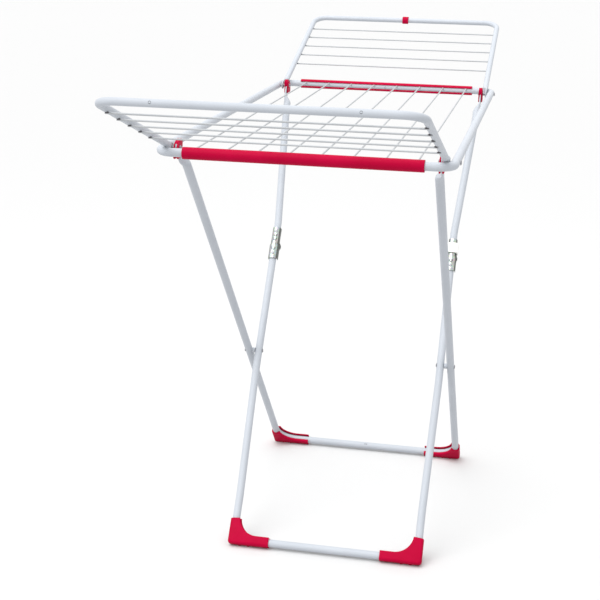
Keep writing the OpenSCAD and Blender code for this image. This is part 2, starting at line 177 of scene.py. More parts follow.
def upright_place(y: float, z: float, side: int = 1) -> Place:
    """Frame with level local Y and upright local Z through a point of the middle plane.

    Args:
        y: Row Y of the origin.
        z: Row Z of the origin.
        side: Direction of local Y along the row's Y.

    Returns:
        The place.
    """
    return Place((0.0, y, z), (0.0, float(side), 0.0), (0.0, 0.0, 1.0))


# ---------------------------------------------------------------- surfaces


@dataclass
class Shell:
    """A closed surface: corner places, four-sided faces and many-sided end faces."""

    verts: np.ndarray
    quads: np.ndarray
    ends: list[np.ndarray] = field(default_factory=list)
    finish: int | np.ndarray = 0
    end_finish: int = 0

    def mirrored(self) -> "Shell":
        """The same shell on the other side of the middle plane."""
        return Shell(self.verts * np.array([-1.0, 1.0, 1.0]), self.quads, self.ends, self.finish,
                     self.end_finish)

    def moved(self, x: float = 0.0, y: float = 0.0, z: float = 0.0) -> "Shell":
        """The same shell shifted by x, y and z."""
        return Shell(self.verts + np.array([x, y, z]), self.quads, self.ends, self.finish,
                     self.end_finish)


def on_side(shells: Sequence[Shell], side: str) -> list[Shell]:
    """Right-hand shells as they are, or mirrored when `side` is "left"."""
    return [s.mirrored() for s in shells] if side == "left" else list(shells)


def both_sides(shells: Sequence[Shell]) -> list[Shell]:
    """Right-hand shells and their mirror images."""
    return [*shells, *(s.mirrored() for s in shells)]


def grid_quads(rows: int, cols: int, loop_rows: bool = False) -> np.ndarray:
    """Faces of a grid of rings, each ring closed on itself.

    Args:
        rows: Number of rings.
        cols: Corners in each ring.
        loop_rows: Whether the last ring joins the first.

    Returns:
        Corner numbers, one face a row: corner (i, j), (i, j + 1), (i + 1, j + 1), (i + 1, j).
    """
    i = np.arange(rows if loop_rows else rows - 1)[:, None]
    j = np.arange(cols)[None, :]
    after_i, after_j = (i + 1) % rows, (j + 1) % cols
    corners = [i * cols + j, i * cols + after_j, after_i * cols + after_j, after_i * cols + j]
    return np.stack([c.reshape(-1) for c in corners], axis=1)


def ring_shell(rings: np.ndarray, loop: bool = False, finish: int = 0, end_finish: int = 0) -> Shell:
    """A shell from a stack of closed rings.

    Args:
        rings: Array of shape (rows, cols, 3).
        loop: Whether the stack closes on itself; otherwise both ends get a flat face.
        finish: Finish number of the sides.
        end_finish: Finish number of the end faces.

    Returns:
        The shell.
    """
    rows, cols = rings.shape[:2]
    ends = [] if loop else [np.arange(cols), (rows - 1) * cols + np.arange(cols)]
    return Shell(rings.reshape(-1, 3), grid_quads(rows, cols, loop), ends, finish, end_finish)


def smooth_step(t: np.ndarray) -> np.ndarray:
    """3t^2 - 2t^3, held to the range 0 to 1."""
    t = np.clip(t, 0.0, 1.0)
    return t * t * (3.0 - 2.0 * t)


def filleted(corners: Sequence[tuple[float, float]], radii: Sequence[float], steps: int = 14,
             closed: bool = False) -> np.ndarray:
    """Points of a flat path of straights joined by round bends.

    Each bend is the arc of its radius that touches both straights: its ends lie
    radius * tan(turn / 2) from the corner.

    Args:
        corners: Corners of the path in order.
        radii: Bend radius at each corner, 0 for none.
        steps: Pieces in each bend.
        closed: Whether the path closes on itself.

    Returns:
        Array of shape (n, 2).
    """
    pts = np.asarray(corners, float)
    count = len(pts)
    out: list[np.ndarray] = []
    for k in range(count):
        if radii[k] <= 0.0 or (not closed and k in (0, count - 1)):
            out.append(pts[k][None, :])
            continue
        into = pts[k] - pts[k - 1]
        away = pts[(k + 1) % count] - pts[k]
        into, away = into / np.linalg.norm(into), away / np.linalg.norm(away)
        turn = math.atan2(into[0] * away[1] - into[1] * away[0], float(into @ away))
        side = 1.0 if turn > 0.0 else -1.0
        start = pts[k] - into * radii[k] * math.tan(abs(turn) / 2.0)
        normal = side * np.array([-into[1], into[0]])
        phi = np.linspace(0.0, abs(turn), steps + 1)[:, None]
        out.append(start + radii[k] * (np.sin(phi) * into + (1.0 - np.cos(phi)) * normal))
    return np.concatenate(out)


def headings(path: np.ndarray, closed: bool = False) -> np.ndarray:
    """Unit direction at each point of a path: the sum of the directions to and from it.

    Args:
        path: Array of shape (n, 2).
        closed: Whether the path closes on itself.

    Returns:
        Array of shape (n, 2).
    """
    if closed:
        step = np.roll(path, -1, axis=0) - path
        step /= np.maximum(np.linalg.norm(step, axis=1, keepdims=True), 1e-9)
        total = step + np.roll(step, 1, axis=0)
    else:
        step = np.diff(path, axis=0)
        step /= np.maximum(np.linalg.norm(step, axis=1, keepdims=True), 1e-9)
        total = np.concatenate([step[:1], step[:-1] + step[1:], step[-1:]])
    return total / np.linalg.norm(total, axis=1, keepdims=True)


def swept_bar(path: np.ndarray, half_n: np.ndarray, half_z: np.ndarray, sides: int = 32,
              closed: bool = False, bored: float = 0.0, bored_ends: tuple[bool, bool] = (False, False),
              ) -> Shell:
    """A bar carried along a flat path, from round to flat and back as its half sizes say.

    The section is a rounded rectangle: with r the smaller half size, its point at angle t
    is (sign(cos t) (half_n - r) + r cos t, sign(sin t) (half_z - r) + r sin t), so equal
    half sizes give a circle and unequal ones a flattened tube.

    Args:
        path: Centre points, shape (n, 2).
        half_n: Half size across the path in its plane, shape (n,).
        half_z: Half size out of the plane, shape (n,).
        sides: Corners around the section.
        closed: Whether the path closes on itself.
        bored: Inner radius of open tube ends.
        bored_ends: Whether the first and the last end are open.

    Returns:
        The shell, with open ends bored 12 mm deep.
    """
    tangent = headings(path, closed)
    normal = np.stack([-tangent[:, 1], tangent[:, 0]], axis=1)
    angle = (np.arange(sides) + 0.5) * 2.0 * math.pi / sides
    ca, sa = np.cos(angle)[None, :], np.sin(angle)[None, :]
    r = np.minimum(half_n, half_z)[:, None]
    a = np.sign(ca) * (half_n[:, None] - r) + r * ca
    b = np.sign(sa) * (half_z[:, None] - r) + r * sa
    rings = np.empty((len(path), sides, 3))
    rings[..., :2] = path[:, None, :] + a[..., None] * normal[:, None, :]
    rings[..., 2] = b
    if closed:
        return ring_shell(rings, loop=True)
    stack = [rings]
    for first, place in ((True, 0), (False, -1)):
        if not bored_ends[0 if first else 1]:
            continue
        mouth = np.empty((2, sides, 3))
        inward = tangent[place] * (12.0 if first else -12.0)
        for row, shift in ((0, inward), (1, np.zeros(2))):
            mouth[row, :, :2] = path[place] + shift + bored * ca.T * normal[place]
            mouth[row, :, 2] = bored * sa[0]
        stack = [mouth, *stack] if first else [*stack, mouth[::-1]]
    return ring_shell(np.concatenate(stack))


def inset_outline(outline: np.ndarray, depth: float) -> np.ndarray:
    """A closed outline moved inwards along its corner normals.

    Args:
        outline: Array of shape (m, 2), either way round.
        depth: Distance moved.

    Returns:
        Array of shape (m, 2).
    """
    after = np.roll(outline, -1, axis=0)
    area = 0.5 * np.sum(outline[:, 0] * after[:, 1] - outline[:, 1] * after[:, 0])
    tangent = headings(outline, closed=True)
    inward = np.stack([-tangent[:, 1], tangent[:, 0]], axis=1) * (1.0 if area > 0.0 else -1.0)
    return outline + depth * inward


def rounded_prism(outline: np.ndarray, x0: float, x1: float, edge: float = 0.5) -> Shell:
    """A flat outline in the YZ plane carried along X, with its end edges rounded over.

    Near an end, at a distance edge (1 - sin q) from it, the outline is inset by
    edge (1 - cos q) for q from 90 degrees to 0.

    Args:
        outline: Array of shape (m, 2) in Y and Z.
        x0: Lower end.
        x1: Upper end.
        edge: Radius of the rounding.

    Returns:
        The shell.
    """
    q = np.linspace(0.0, math.pi / 2.0, 5)
    depth = edge * (1.0 - np.sin(q))
    along = edge * (1.0 - np.cos(q))
    places = np.concatenate([x0 + along, x1 - along[::-1]])
    depths = np.concatenate([depth, depth[::-1]])
    rings = np.empty((len(places), len(outline), 3))
    for row, (x, d) in enumerate(zip(places, depths)):
        rings[row, :, 0] = x
        rings[row, :, 1:] = inset_outline(outline, d)
    return ring_shell(rings)


def lathe_x(profile: Sequence[tuple[float, float]], y: float, z: float, sides: int = 28,
            finish: int = 0) -> Shell:
    """A profile of (x, radius) points turned once around the line through (y, z) along X.

    Args:
        profile: Points from one end to the other.
        y: Y of the axis.
        z: Z of the axis.
        sides: Corners around.
        finish: Finish number.

    Returns:
        The shell: x, y + radius cos t, z + radius sin t.
    """
    pts = np.asarray(profile, float)
    t = np.arange(sides) * 2.0 * math.pi / sides
    rings = np.empty((len(pts), sides, 3))
    rings[..., 0] = pts[:, :1]
    rings[..., 1] = y + pts[:, 1:] * np.cos(t)[None, :]
    rings[..., 2] = z + pts[:, 1:] * np.sin(t)[None, :]
    return ring_shell(rings, finish=finish, end_finish=finish)


def lathe_z(profile: Sequence[tuple[float, float]], x: float, y: float, sides: int = 24) -> Shell:
    """A profile of (z, radius) points turned once around the upright line through (x, y).

    Args:
        profile: Points from one end to the other.
        x: X of the axis.
        y: Y of the axis.
        sides: Corners around.

    Returns:
        The shell.
    """
    turned = lathe_x(profile, 0.0, 0.0, sides)
    turned.verts = turned.verts[:, [1, 2, 0]] + np.array([x, y, 0.0])
    return turned


def dome(x: float, out: int, radius: float, height: float, steps: int = 7) -> list[tuple[float, float]]:
    """Profile points of a domed rivet head with a small pressed dimple in its middle.

    The height at distance r from the axis is height * sqrt(1 - (r / radius)^2), less a
    dimple 0.35 deep that follows a bell curve.

    Args:
        x: Place of the head's seat.
        out: 1 when the head rises towards +X, -1 towards -X.
        radius: Radius of the head.
        height: Rise of the head.
        steps: Number of points.

    Returns:
        Points (x, radius) from the rim to the axis.
    """
    share = np.cos(np.linspace(0.0, math.pi / 2.0, steps))
    r = radius * share
    rise = height * np.sqrt(np.maximum(0.0, 1.0 - 0.96 * share**2))
    rise = rise - 0.35 * np.exp(-((r / (0.35 * radius)) ** 2))
    return [(x + out * float(h), float(q)) for h, q in zip(rise, r)]


def headed_pin(x0: float, x1: float, shank: float, head: float, thick: float, y: float, z: float,
               heads: tuple[bool, bool] = (True, True)) -> Shell:
    """A rivet along X with domed heads.

    Args:
        x0: Seat of the head at the low end.
        x1: Seat of the head at the high end.
        shank: Radius of the shank.
        head: Radius of a head.
        thick: Height of a head.
        y: Y of the axis.
        z: Z of the axis.
        heads: Whether the low and the high end have heads.

    Returns:
        The shell.
    """
    low = dome(x0, -1, head, thick)[::-1] + [(x0, head)] if heads[0] else [(x0, 0.0)]
    high = [(x1, head)] + dome(x1, 1, head, thick) if heads[1] else [(x1, shank), (x1, 0.0)]
    return lathe_x([*low, (x0, shank), (x1, shank), *high], y, z)


# ---------------------------------------------------------------- finishes


class Texture(Enum):
    """How a finish breaks up the light."""

    ORANGE_PEEL = "orange peel"
    MOULDED = "moulded"
    SPANGLE = "spangle"
    SCRATCHED = "scratched"


@dataclass(frozen=True)
class Finish:
    """A surface finish: colour, gloss and the fine texture that breaks it up."""

    name: str
    slot: str
    colour: tuple[float, float, float]
    tint: tuple[float, float, float]
    roughness: float
    texture: Texture
    metallic: float = 0.0
    coat: float = 0.0
    specular: float = 0.5
    grain: float = 1400.0
    bump: float = 0.05
    mottle: float = 14.0

    def material(self) -> bpy.types.Material:
        """Makes or finds the node material.

        Colour runs between `colour` and `tint` with a broad noise, roughness wanders with a
        second noise, and a fine noise or cell pattern lifts the surface.

        Returns:
            The material.
        """
        known = bpy.data.materials.get(self.name)
        if known is not None:
            return known
        mat = bpy.data.materials.new(self.name)
        mat.use_nodes = True
        mat.diffuse_color = (*self.colour, 1.0)
        tree = mat.node_tree
        tree.nodes.clear()
        out = tree.nodes.new("ShaderNodeOutputMaterial")
        shader = tree.nodes.new("ShaderNodeBsdfPrincipled")
        shader.inputs["Metallic"].default_value = self.metallic
        shader.inputs["Coat Weight"].default_value = self.coat
        shader.inputs["Coat Roughness"].default_value = 0.12
        shader.inputs["Specular IOR Level"].default_value = self.specular
        tree.links.new(shader.outputs["BSDF"], out.inputs["Surface"])
        place = tree.nodes.new("ShaderNodeTexCoord").outputs["Object"]

        broad = self._noise(tree, place, self.mottle, 4.0)
        ramp = tree.nodes.new("ShaderNodeValToRGB")
        ramp.color_ramp.elements[0].position = 0.30
        ramp.color_ramp.elements[0].color = (*self.tint, 1.0)
        ramp.color_ramp.elements[1].position = 0.62
        ramp.color_ramp.elements[1].color = (*self.colour, 1.0)
        tree.links.new(broad, ramp.inputs["Fac"])
        colour_out = ramp.outputs["Color"]

        fine = self._pattern(tree, place)
        if self.texture in (Texture.SPANGLE, Texture.SCRATCHED):
            mix = tree.nodes.new("ShaderNodeMix")
            mix.data_type = "RGBA"
            mix.blend_type = "MULTIPLY"
            mix.inputs["Factor"].default_value = 0.35
            tree.links.new(colour_out, mix.inputs["A"])
            tree.links.new(fine, mix.inputs["B"])
            colour_out = mix.outputs["Result"]
        tree.links.new(colour_out, shader.inputs["Base Color"])

        gloss = self._noise(tree, place, self.mottle * 6.0, 3.0)
        spread = tree.nodes.new("ShaderNodeMapRange")
        spread.inputs["From Min"].default_value = 0.25
        spread.inputs["From Max"].default_value = 0.75
        spread.inputs["To Min"].default_value = max(0.05, self.roughness - 0.07)
        spread.inputs["To Max"].default_value = self.roughness + 0.07
        tree.links.new(gloss, spread.inputs["Value"])
        tree.links.new(spread.outputs["Result"], shader.inputs["Roughness"])

        bump = tree.nodes.new("ShaderNodeBump")
        bump.inputs["Strength"].default_value = self.bump
        bump.inputs["Distance"].default_value = 0.0004
        tree.links.new(fine, bump.inputs["Height"])
        tree.links.new(bump.outputs["Normal"], shader.inputs["Normal"])
        return mat

    def _noise(self, tree: bpy.types.NodeTree, place: bpy.types.NodeSocket, scale: float,
               detail: float) -> bpy.types.NodeSocket:
        """Adds a noise.

        Args:
            tree: Node tree to add to.
            place: Socket that carries the Object coordinates.
            scale: Cells per metre.
            detail: Octaves.

        Returns:
            The noise's height socket.
        """
        noise = tree.nodes.new("ShaderNodeTexNoise")
        noise.inputs["Scale"].default_value = scale
        noise.inputs["Detail"].default_value = detail
        tree.links.new(place, noise.inputs["Vector"])
        return noise.outputs["Fac"]

    def _pattern(self, tree: bpy.types.NodeTree, place: bpy.types.NodeSocket) -> bpy.types.NodeSocket:
        """Adds the fine pattern of the finish.

        Args:
            tree: Node tree to add to.
            place: Socket that carries the Object coordinates.

        Returns:
            The socket that carries its height.
        """
        if self.texture is Texture.SPANGLE:
            cells = tree.nodes.new("ShaderNodeTexVoronoi")
            cells.inputs["Scale"].default_value = self.grain
            tree.links.new(place, cells.inputs["Vector"])
            return cells.outputs["Color"]
        if self.texture is Texture.SCRATCHED:
            stretch = tree.nodes.new("ShaderNodeMapping")
            stretch.inputs["Scale"].default_value = (0.15, 1.0, 1.0)
            tree.links.new(place, stretch.inputs["Vector"])
            return self._noise(tree, stretch.outputs["Vector"], self.grain, 6.0)
        detail = 2.0 if self.texture is Texture.ORANGE_PEEL else 5.0
        return self._noise(tree, place, self.grain, detail)


POWDER = Finish("white_powder_coat", "white_paint", (0.445, 0.472, 0.512), (0.420, 0.447, 0.487), 0.40,
                Texture.ORANGE_PEEL, specular=0.15, grain=1100.0, bump=0.10, mottle=9.0)
LINE_WIRE = Finish("coated_line_wire", "white_paint", (0.40, 0.415, 0.43), (0.36, 0.375, 0.39), 0.45,
                   Texture.ORANGE_PEEL, specular=0.3, grain=1500.0, bump=0.08, mottle=12.0)
CRIMSON = Finish("crimson_plastic", "red_plastic", (0.41, 0.0010, 0.034), (0.36, 0.0008, 0.027), 0.42,
                 Texture.MOULDED, specular=0.04, grain=2200.0, bump=0.16, mottle=20.0)
ZINC = Finish("zinc_plate", "zinc", (0.56, 0.60, 0.58), (0.46, 0.50, 0.48), 0.36, Texture.SPANGLE,
              metallic=0.8, grain=420.0, bump=0.06, mottle=60.0)
# A darker copy of the zinc plate for the bracket's cheeks, ears and hinge pins: painted shade and dark
# reflections on the sides, while the lit web keeps ZINC.
ZINC_PAINTED_SHADE = Finish("zinc_plate_painted_shade", "zinc", (0.17, 0.18, 0.17), (0.10, 0.11, 0.10), 0.38,
                   Texture.SCRATCHED, metallic=0.9, grain=900.0, bump=0.15, mottle=90.0)
RIVET = Finish("rivet_steel", "rivet_steel", (0.07, 0.075, 0.08), (0.035, 0.035, 0.04), 0.40,
               Texture.SCRATCHED, metallic=0.6, grain=1600.0, bump=0.2, mottle=160.0)
IVORY = Finish("ivory_plastic", "ivory_plastic", (0.52, 0.53, 0.52), (0.46, 0.47, 0.46), 0.45,
               Texture.MOULDED, grain=2200.0, bump=0.12, mottle=30.0)
# Near-black: bare cut steel on the wire ends, and painted shade in the drilled holes and the pressed marks.
BARE_STEEL_AND_SHADE = Finish("cut_steel_and_painted_shade", "rivet_steel", (0.035, 0.035, 0.04), (0.015, 0.015, 0.018), 0.6,
                   Texture.SCRATCHED, metallic=0.3, specular=0.2, grain=2600.0, bump=0.3, mottle=300.0)
# Near-black weld beads: partly burnt bare weld, partly painted shade where the wires pass under the arm
# tubes.
DARK_WELD_AND_SHADE = Finish("weld_dark_and_painted_shade", "white_paint", (0.11, 0.10, 0.11), (0.06, 0.055, 0.06), 0.6,
              Texture.SCRATCHED, specular=0.2, grain=2600.0, bump=0.3, mottle=300.0)


# ---------------------------------------------------------------- making pieces


def make_piece(name: str, shells: Sequence[Shell], place: Place, finishes: Sequence[Finish], body: str,
               stands_for: Sequence[str], sharp: float = 38.0) -> bpy.types.Object:
    """Puts shells into one mesh, sets its finishes and hangs it on its CAD body.

    Args:
        name: Name of the piece.
        shells: Closed shells in local millimetres.
        place: Local frame of the shells.
        finishes: Finishes in the order of the shells' finish numbers.
        body: CAD body that the piece moves with.
        stands_for: CAD nodes that the piece replaces.
        sharp: Angle in degrees past which an edge is shaded sharp.

    Returns:
        The new object.
    """
    verts, faces, marks, base = [], [], [], 0
    for shell in shells:
        verts.append(place.to_row(shell.verts))
        faces += (shell.quads + base).tolist()
        marks += np.broadcast_to(shell.finish, len(shell.quads)).tolist()
        for end in shell.ends:
            faces.append((end + base).tolist())
            marks.append(shell.end_finish)
        base += len(shell.verts)
    mesh = bpy.data.meshes.new(name)
    mesh.from_pydata(np.concatenate(verts).tolist(), [], faces)
    mesh.polygons.foreach_set("material_index", np.array(marks, dtype=np.int32))
    for finish in finishes:
        mesh.materials.append(finish.material())
    work = bmesh.new()
    work.from_mesh(mesh)
    bmesh.ops.remove_doubles(work, verts=work.verts, dist=2e-6)
    many = [f for f in work.faces if len(f.verts) > 4]
    bmesh.ops.triangulate(work, faces=many, ngon_method="EAR_CLIP")
    bmesh.ops.recalc_face_normals(work, faces=work.faces)
    work.to_mesh(mesh)
    work.free()
    mesh.shade_smooth()
    mesh.set_sharp_from_angle(angle=math.radians(sharp))
    piece = bpy.data.objects.new(name, mesh)
    bpy.context.scene.collection.objects.link(piece)
    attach(piece, body)
    if stands_for:
        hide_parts(*stands_for)
    LOG.info("%s: %d faces on %s", name, len(mesh.polygons), body)
    return piece


def flat_end_path(tube_x: float, plate_x: float, plate_w: float, flat_end: float, start: float,
                  tube_r: float) -> tuple[np.ndarray, np.ndarray, np.ndarray]:
    """Centre line and half sizes of a tube end pressed flat around its pivot.

    The plate is 3 mm thick with a round end: at a distance d before the pivot its half
    width is sqrt((w / 2)^2 - d^2). From flat_end to start the half sizes and the sideways
    place ease from plate to tube with 3t^2 - 2t^3.

    Args:
        tube_x: Sideways place of the round tube.
        plate_x: Sideways place of the plate.
        plate_w: Width of the plate.
        flat_end: Distance from pivot to where the tube begins to swell.
        start: Distance from pivot to the full round.
        tube_r: Radius of the tube.

    Returns:
        Centre points (n, 2), half thickness (n,) and half width (n,).
    """
    half = plate_w / 2.0
    q = np.linspace(0.04, math.pi / 2.0, 12)
    t = np.linspace(0.0, 1.0, 14)
    ease = smooth_step(t)
    y = np.concatenate([-half * np.cos(q), flat_end + (start - flat_end) * t])
    x = np.concatenate([np.full(len(q), plate_x), plate_x + (tube_x - plate_x) * ease])
    thick = np.concatenate([np.full(len(q), 1.5), 1.5 + (tube_r - 1.5) * ease])
    wide = np.concatenate([half * np.sin(q), half + (tube_r - half) * ease])
    return np.stack([x, y], axis=1), thick, wide


def u_tube(arm: tuple[np.ndarray, np.ndarray, np.ndarray], x: float, length: float, bend: float,
           radius: float) -> Shell:
    """A U of tube with both arm ends pressed flat.

    Args:
        arm: Centre line and half sizes of the right arm's end.
        x: Half distance between the arms.
        length: Distance from pivots to the bar's axis.
        bend: Centreline radius of the corners.
        radius: Radius of the tube.

    Returns:
        The shell, symmetric about the middle plane.
    """
    centre, thick, wide = arm
    start = centre[-1, 1]
    middle = filleted([(x, start), (x, length), (-x, length), (-x, start)], [0.0, bend, bend, 0.0], 18)
    middle = middle[1:-1]
    flip = np.array([-1.0, 1.0])
    path = np.concatenate([centre, middle, centre[::-1] * flip])
    round_part = np.full(len(middle), radius)
    half_n = np.concatenate([thick, round_part, thick[::-1]])
    half_z = np.concatenate([wide, round_part, wide[::-1]])
    return swept_bar(path, half_n, half_z)


def drilled_hole(x: float, y: float, z: float, axis: Vector, radius: float = 2.3,
                 stretch: float = 1.0) -> Shell:
    """A small drilled hole drawn as a dark dished disc in a tube wall; the disc's dark colour is painted
    shade inside the hole.

    The disc dips 0.5 mm in its middle and its rim stands 0.12 mm proud of the surface.

    Args:
        x: Local X of the centre on the surface.
        y: Local Y of the centre.
        z: Local Z of the centre.
        axis: Direction out of the surface.
        radius: Radius of the hole.
        stretch: Length of the hole along X as a share of its width.

    Returns:
        The shell.
    """
    profile = [(-1.2, 0.0), (-1.2, radius), (-0.05, radius), (0.12, radius - 0.25), (-0.3, radius - 0.6),
               (-0.5, 0.0)]
    disc = lathe_z(profile, 0.0, 0.0, 20)
    turn = np.array(Vector((0.0, 0.0, 1.0)).rotation_difference(axis).to_matrix())
    disc.verts = (disc.verts @ turn.T) * np.array([stretch, 1.0, 1.0]) + np.array([x, y, z])
    return disc


def bead(x: float, y: float, z: float, rx: float, ry: float, rz: float) -> Shell:
    """A weld bead: an ellipsoid with a lumpy skin.

    Radius factor 1 + 0.07 sin(3u + x) sin(2v) at longitude u and latitude v.

    Args:
        x: Centre X.
        y: Centre Y.
        z: Centre Z.
        rx: Half size along X.
        ry: Half size along Y.
        rz: Half size along Z.

    Returns:
        The shell.
    """
    v = np.linspace(-math.pi / 2.0, math.pi / 2.0, 9)[:, None]
    u = (np.arange(14) * 2.0 * math.pi / 14.0)[None, :]
    lump = 1.0 + 0.07 * np.sin(3.0 * u + x) * np.sin(2.0 * v)
    rings = np.stack([x + rx * lump * np.cos(v) * np.cos(u), y + ry * lump * np.cos(v) * np.sin(u),
                      z + rz * lump * np.sin(v) + 0.0 * u], axis=-1)
    return ring_shell(rings)


def wire(x0: float, x1: float, y: float, z: float, radius: float) -> Shell:
    """A straight wire along X with lightly rounded, bare cut ends."""
    profile = [(x0, 0.0), (x0, radius - 0.25), (x0 + 0.3, radius), (x1 - 0.3, radius), (x1, radius - 0.25),
               (x1, 0.0)]
    return lathe_x(profile, y, z, 14)


def wire_ends(x0: float, x1: float, y: float, z: float, radius: float) -> list[Shell]:
    """Thin bare discs over both cut ends of a wire along X.

    Args:
        x0: Low end.
        x1: High end.
        y: Y of the axis.
        z: Z of the axis.
        radius: Radius of the wire.

    Returns:
        Two shells.
    """
    discs = []
    for x, out in ((x0, -1.0), (x1, 1.0)):
        disc = [(x - out * 0.3, 0.0), (x - out * 0.3, radius - 0.1), (x + out * 0.06, radius - 0.28),
                (x + out * 0.1, 0.0)]
        discs.append(lathe_x(disc, y, z, 14, finish=1))
    return discs


def c_outline(inner: float, outer: float, half_gap: float, lip: float = 0.0) -> np.ndarray:
    """Outline of a C section about the origin, open towards +Y, with rounded lips.

    Outer arc from the upper lip round the back to the lower lip, a half circle over the
    lip's edge, the inner arc back, and the other half circle.

    Args:
        inner: Inner radius.
        outer: Outer radius.
        half_gap: Half width of the opening.
        lip: Extra outward swell of the wall at the lips.

    Returns:
        Array of shape (m, 2) in Y and Z.
    """
    mid, half = (inner + outer) / 2.0, (outer - inner) / 2.0
    a0 = math.asin((half_gap + half) / mid)
    t = np.linspace(a0, 2.0 * math.pi - a0, 56)
    swell = lip * np.exp(-((np.minimum(t - a0, 2.0 * math.pi - a0 - t) / 0.22) ** 2))
    outer_arc = np.stack([(outer + swell) * np.cos(t), (outer + swell) * np.sin(t)], axis=1)
    inner_arc = np.stack([inner * np.cos(t[::-1]), inner * np.sin(t[::-1])], axis=1)
    q = np.linspace(0.0, math.pi, 9)[1:-1]
    low = mid * np.array([math.cos(a0), -math.sin(a0)])
    high = mid * np.array([math.cos(a0), math.sin(a0)])
    out_low, along_low = low / mid, np.array([math.sin(a0), math.cos(a0)])
    out_high, along_high = high / mid, np.array([math.sin(a0), -math.cos(a0)])
    lip_low = low + half * (np.cos(q)[:, None] * out_low + np.sin(q)[:, None] * along_low)
    lip_high = high - half * (np.cos(q)[:, None] * out_high - np.sin(q)[:, None] * along_high)
    return np.concatenate([outer_arc, lip_low, inner_arc, lip_high])


# ---------------------------------------------------------------- sub-assemblies


@dataclass
class TopFrame:
    """The rectangular frame with its line wires, sleeves and corner rivets."""

    wires: int = 8
    wire_pitch: float = 58.0
    wire_rise: float = 3.4
    wire_reach: float = 522.0
    sleeve_half: float = 218.0
    sleeve_bore: float = 8.1
    sleeve_out: float = 11.1
    sleeve_gap: float = 5.3
    rivet_low: float = 238.6
    head_r: float = 4.6
    head_rise: float = 2.8
    washer: tuple[float, float] = (247.9, 253.5)
    washer_r: float = 3.9

    def build(self) -> None:
        """Builds the loop, the wires, both sleeves and the four rivets."""
        place = upright_place(0.0, SIZES.height)
        x, y, r = SIZES.frame_x, SIZES.frame_y, SIZES.frame_bend
        path = filleted([(x, y), (-x, y), (-x, -y), (x, -y)], [r] * 4, 16, closed=True)
        size = np.full(len(path), SIZES.frame_r)
        loop = swept_bar(path, size, size, 36, closed=True)
        make_piece("top_frame_tube", [loop], place, [POWDER], "main_frame", ["main_frame_tube"])
        hole = drilled_hole(0.0, y - SIZES.frame_r, 0.0, Vector((0.0, -1.0, 0.0)))
        make_piece("far_tube_hole", [hole], place, [BARE_STEEL_AND_SHADE], "main_frame", [])
        make_piece("line_wires", self._wires(), place, [LINE_WIRE], "main_frame", ["main_wires"])
        for name, side in (("near_sleeve", -1), ("far_sleeve", 1)):
            spot = upright_place(side * y, SIZES.height, -side)
            make_piece(f"{name}_shell", self._sleeve(), spot, [CRIMSON], "main_frame", [name])
        make_piece("corner_pivot_rivets", self._rivets(), place, [RIVET], "main_frame", ["corner_rivets"])

    def _wires(self) -> list[Shell]:
        """Round wires along Y, each a line of rings with a small weld collar at both tubes."""
        shells = []
        profile = [(-self.wire_reach, 0.0), (-self.wire_reach, SIZES.wire_r)]
        collar = SIZES.frame_y - 7.3
        for d, grow in ((0.0, 1.1), (0.8, 0.7), (1.8, 0.25), (3.0, 0.0)):
            profile.append((-collar + d, SIZES.wire_r + grow))
        profile += [(-x, r) for x, r in profile[::-1]]
        for k in range(self.wires):
            one = lathe_x(profile, 0.0, 0.0, 16)
            one.verts = one.verts[:, [1, 0, 2]]
            shells.append(one.moved(x=(k - (self.wires - 1) / 2.0) * self.wire_pitch, z=self.wire_rise))
        return shells

    def _sleeve(self) -> list[Shell]:
        """A snap-on C sleeve: the C outline carried along X, ends rounded over."""
        outline = c_outline(self.sleeve_bore, self.sleeve_out, self.sleeve_gap, 0.15)
        return [rounded_prism(outline, -self.sleeve_half, self.sleeve_half, 0.8)]

    def _rivets(self) -> list[Shell]:
        """Four pivot rivets with domed heads, each with a short spacer between wing and frame."""
        high = SIZES.frame_x + SIZES.frame_r + 0.1
        (w0, w1), r, edge = self.washer, self.washer_r, 0.3
        ring = [(w0, 0.0), (w0, r - edge), (w0 + edge, r), (w1 - edge, r), (w1, r - edge), (w1, 0.0)]
        shells = []
        for y in (-SIZES.pivot_y, SIZES.pivot_y):
            rivet = headed_pin(self.rivet_low, high, SIZES.shank_r, self.head_r, self.head_rise, y, 0.0)
            shells += both_sides([rivet, lathe_x(ring, y, 0.0)])
        return shells


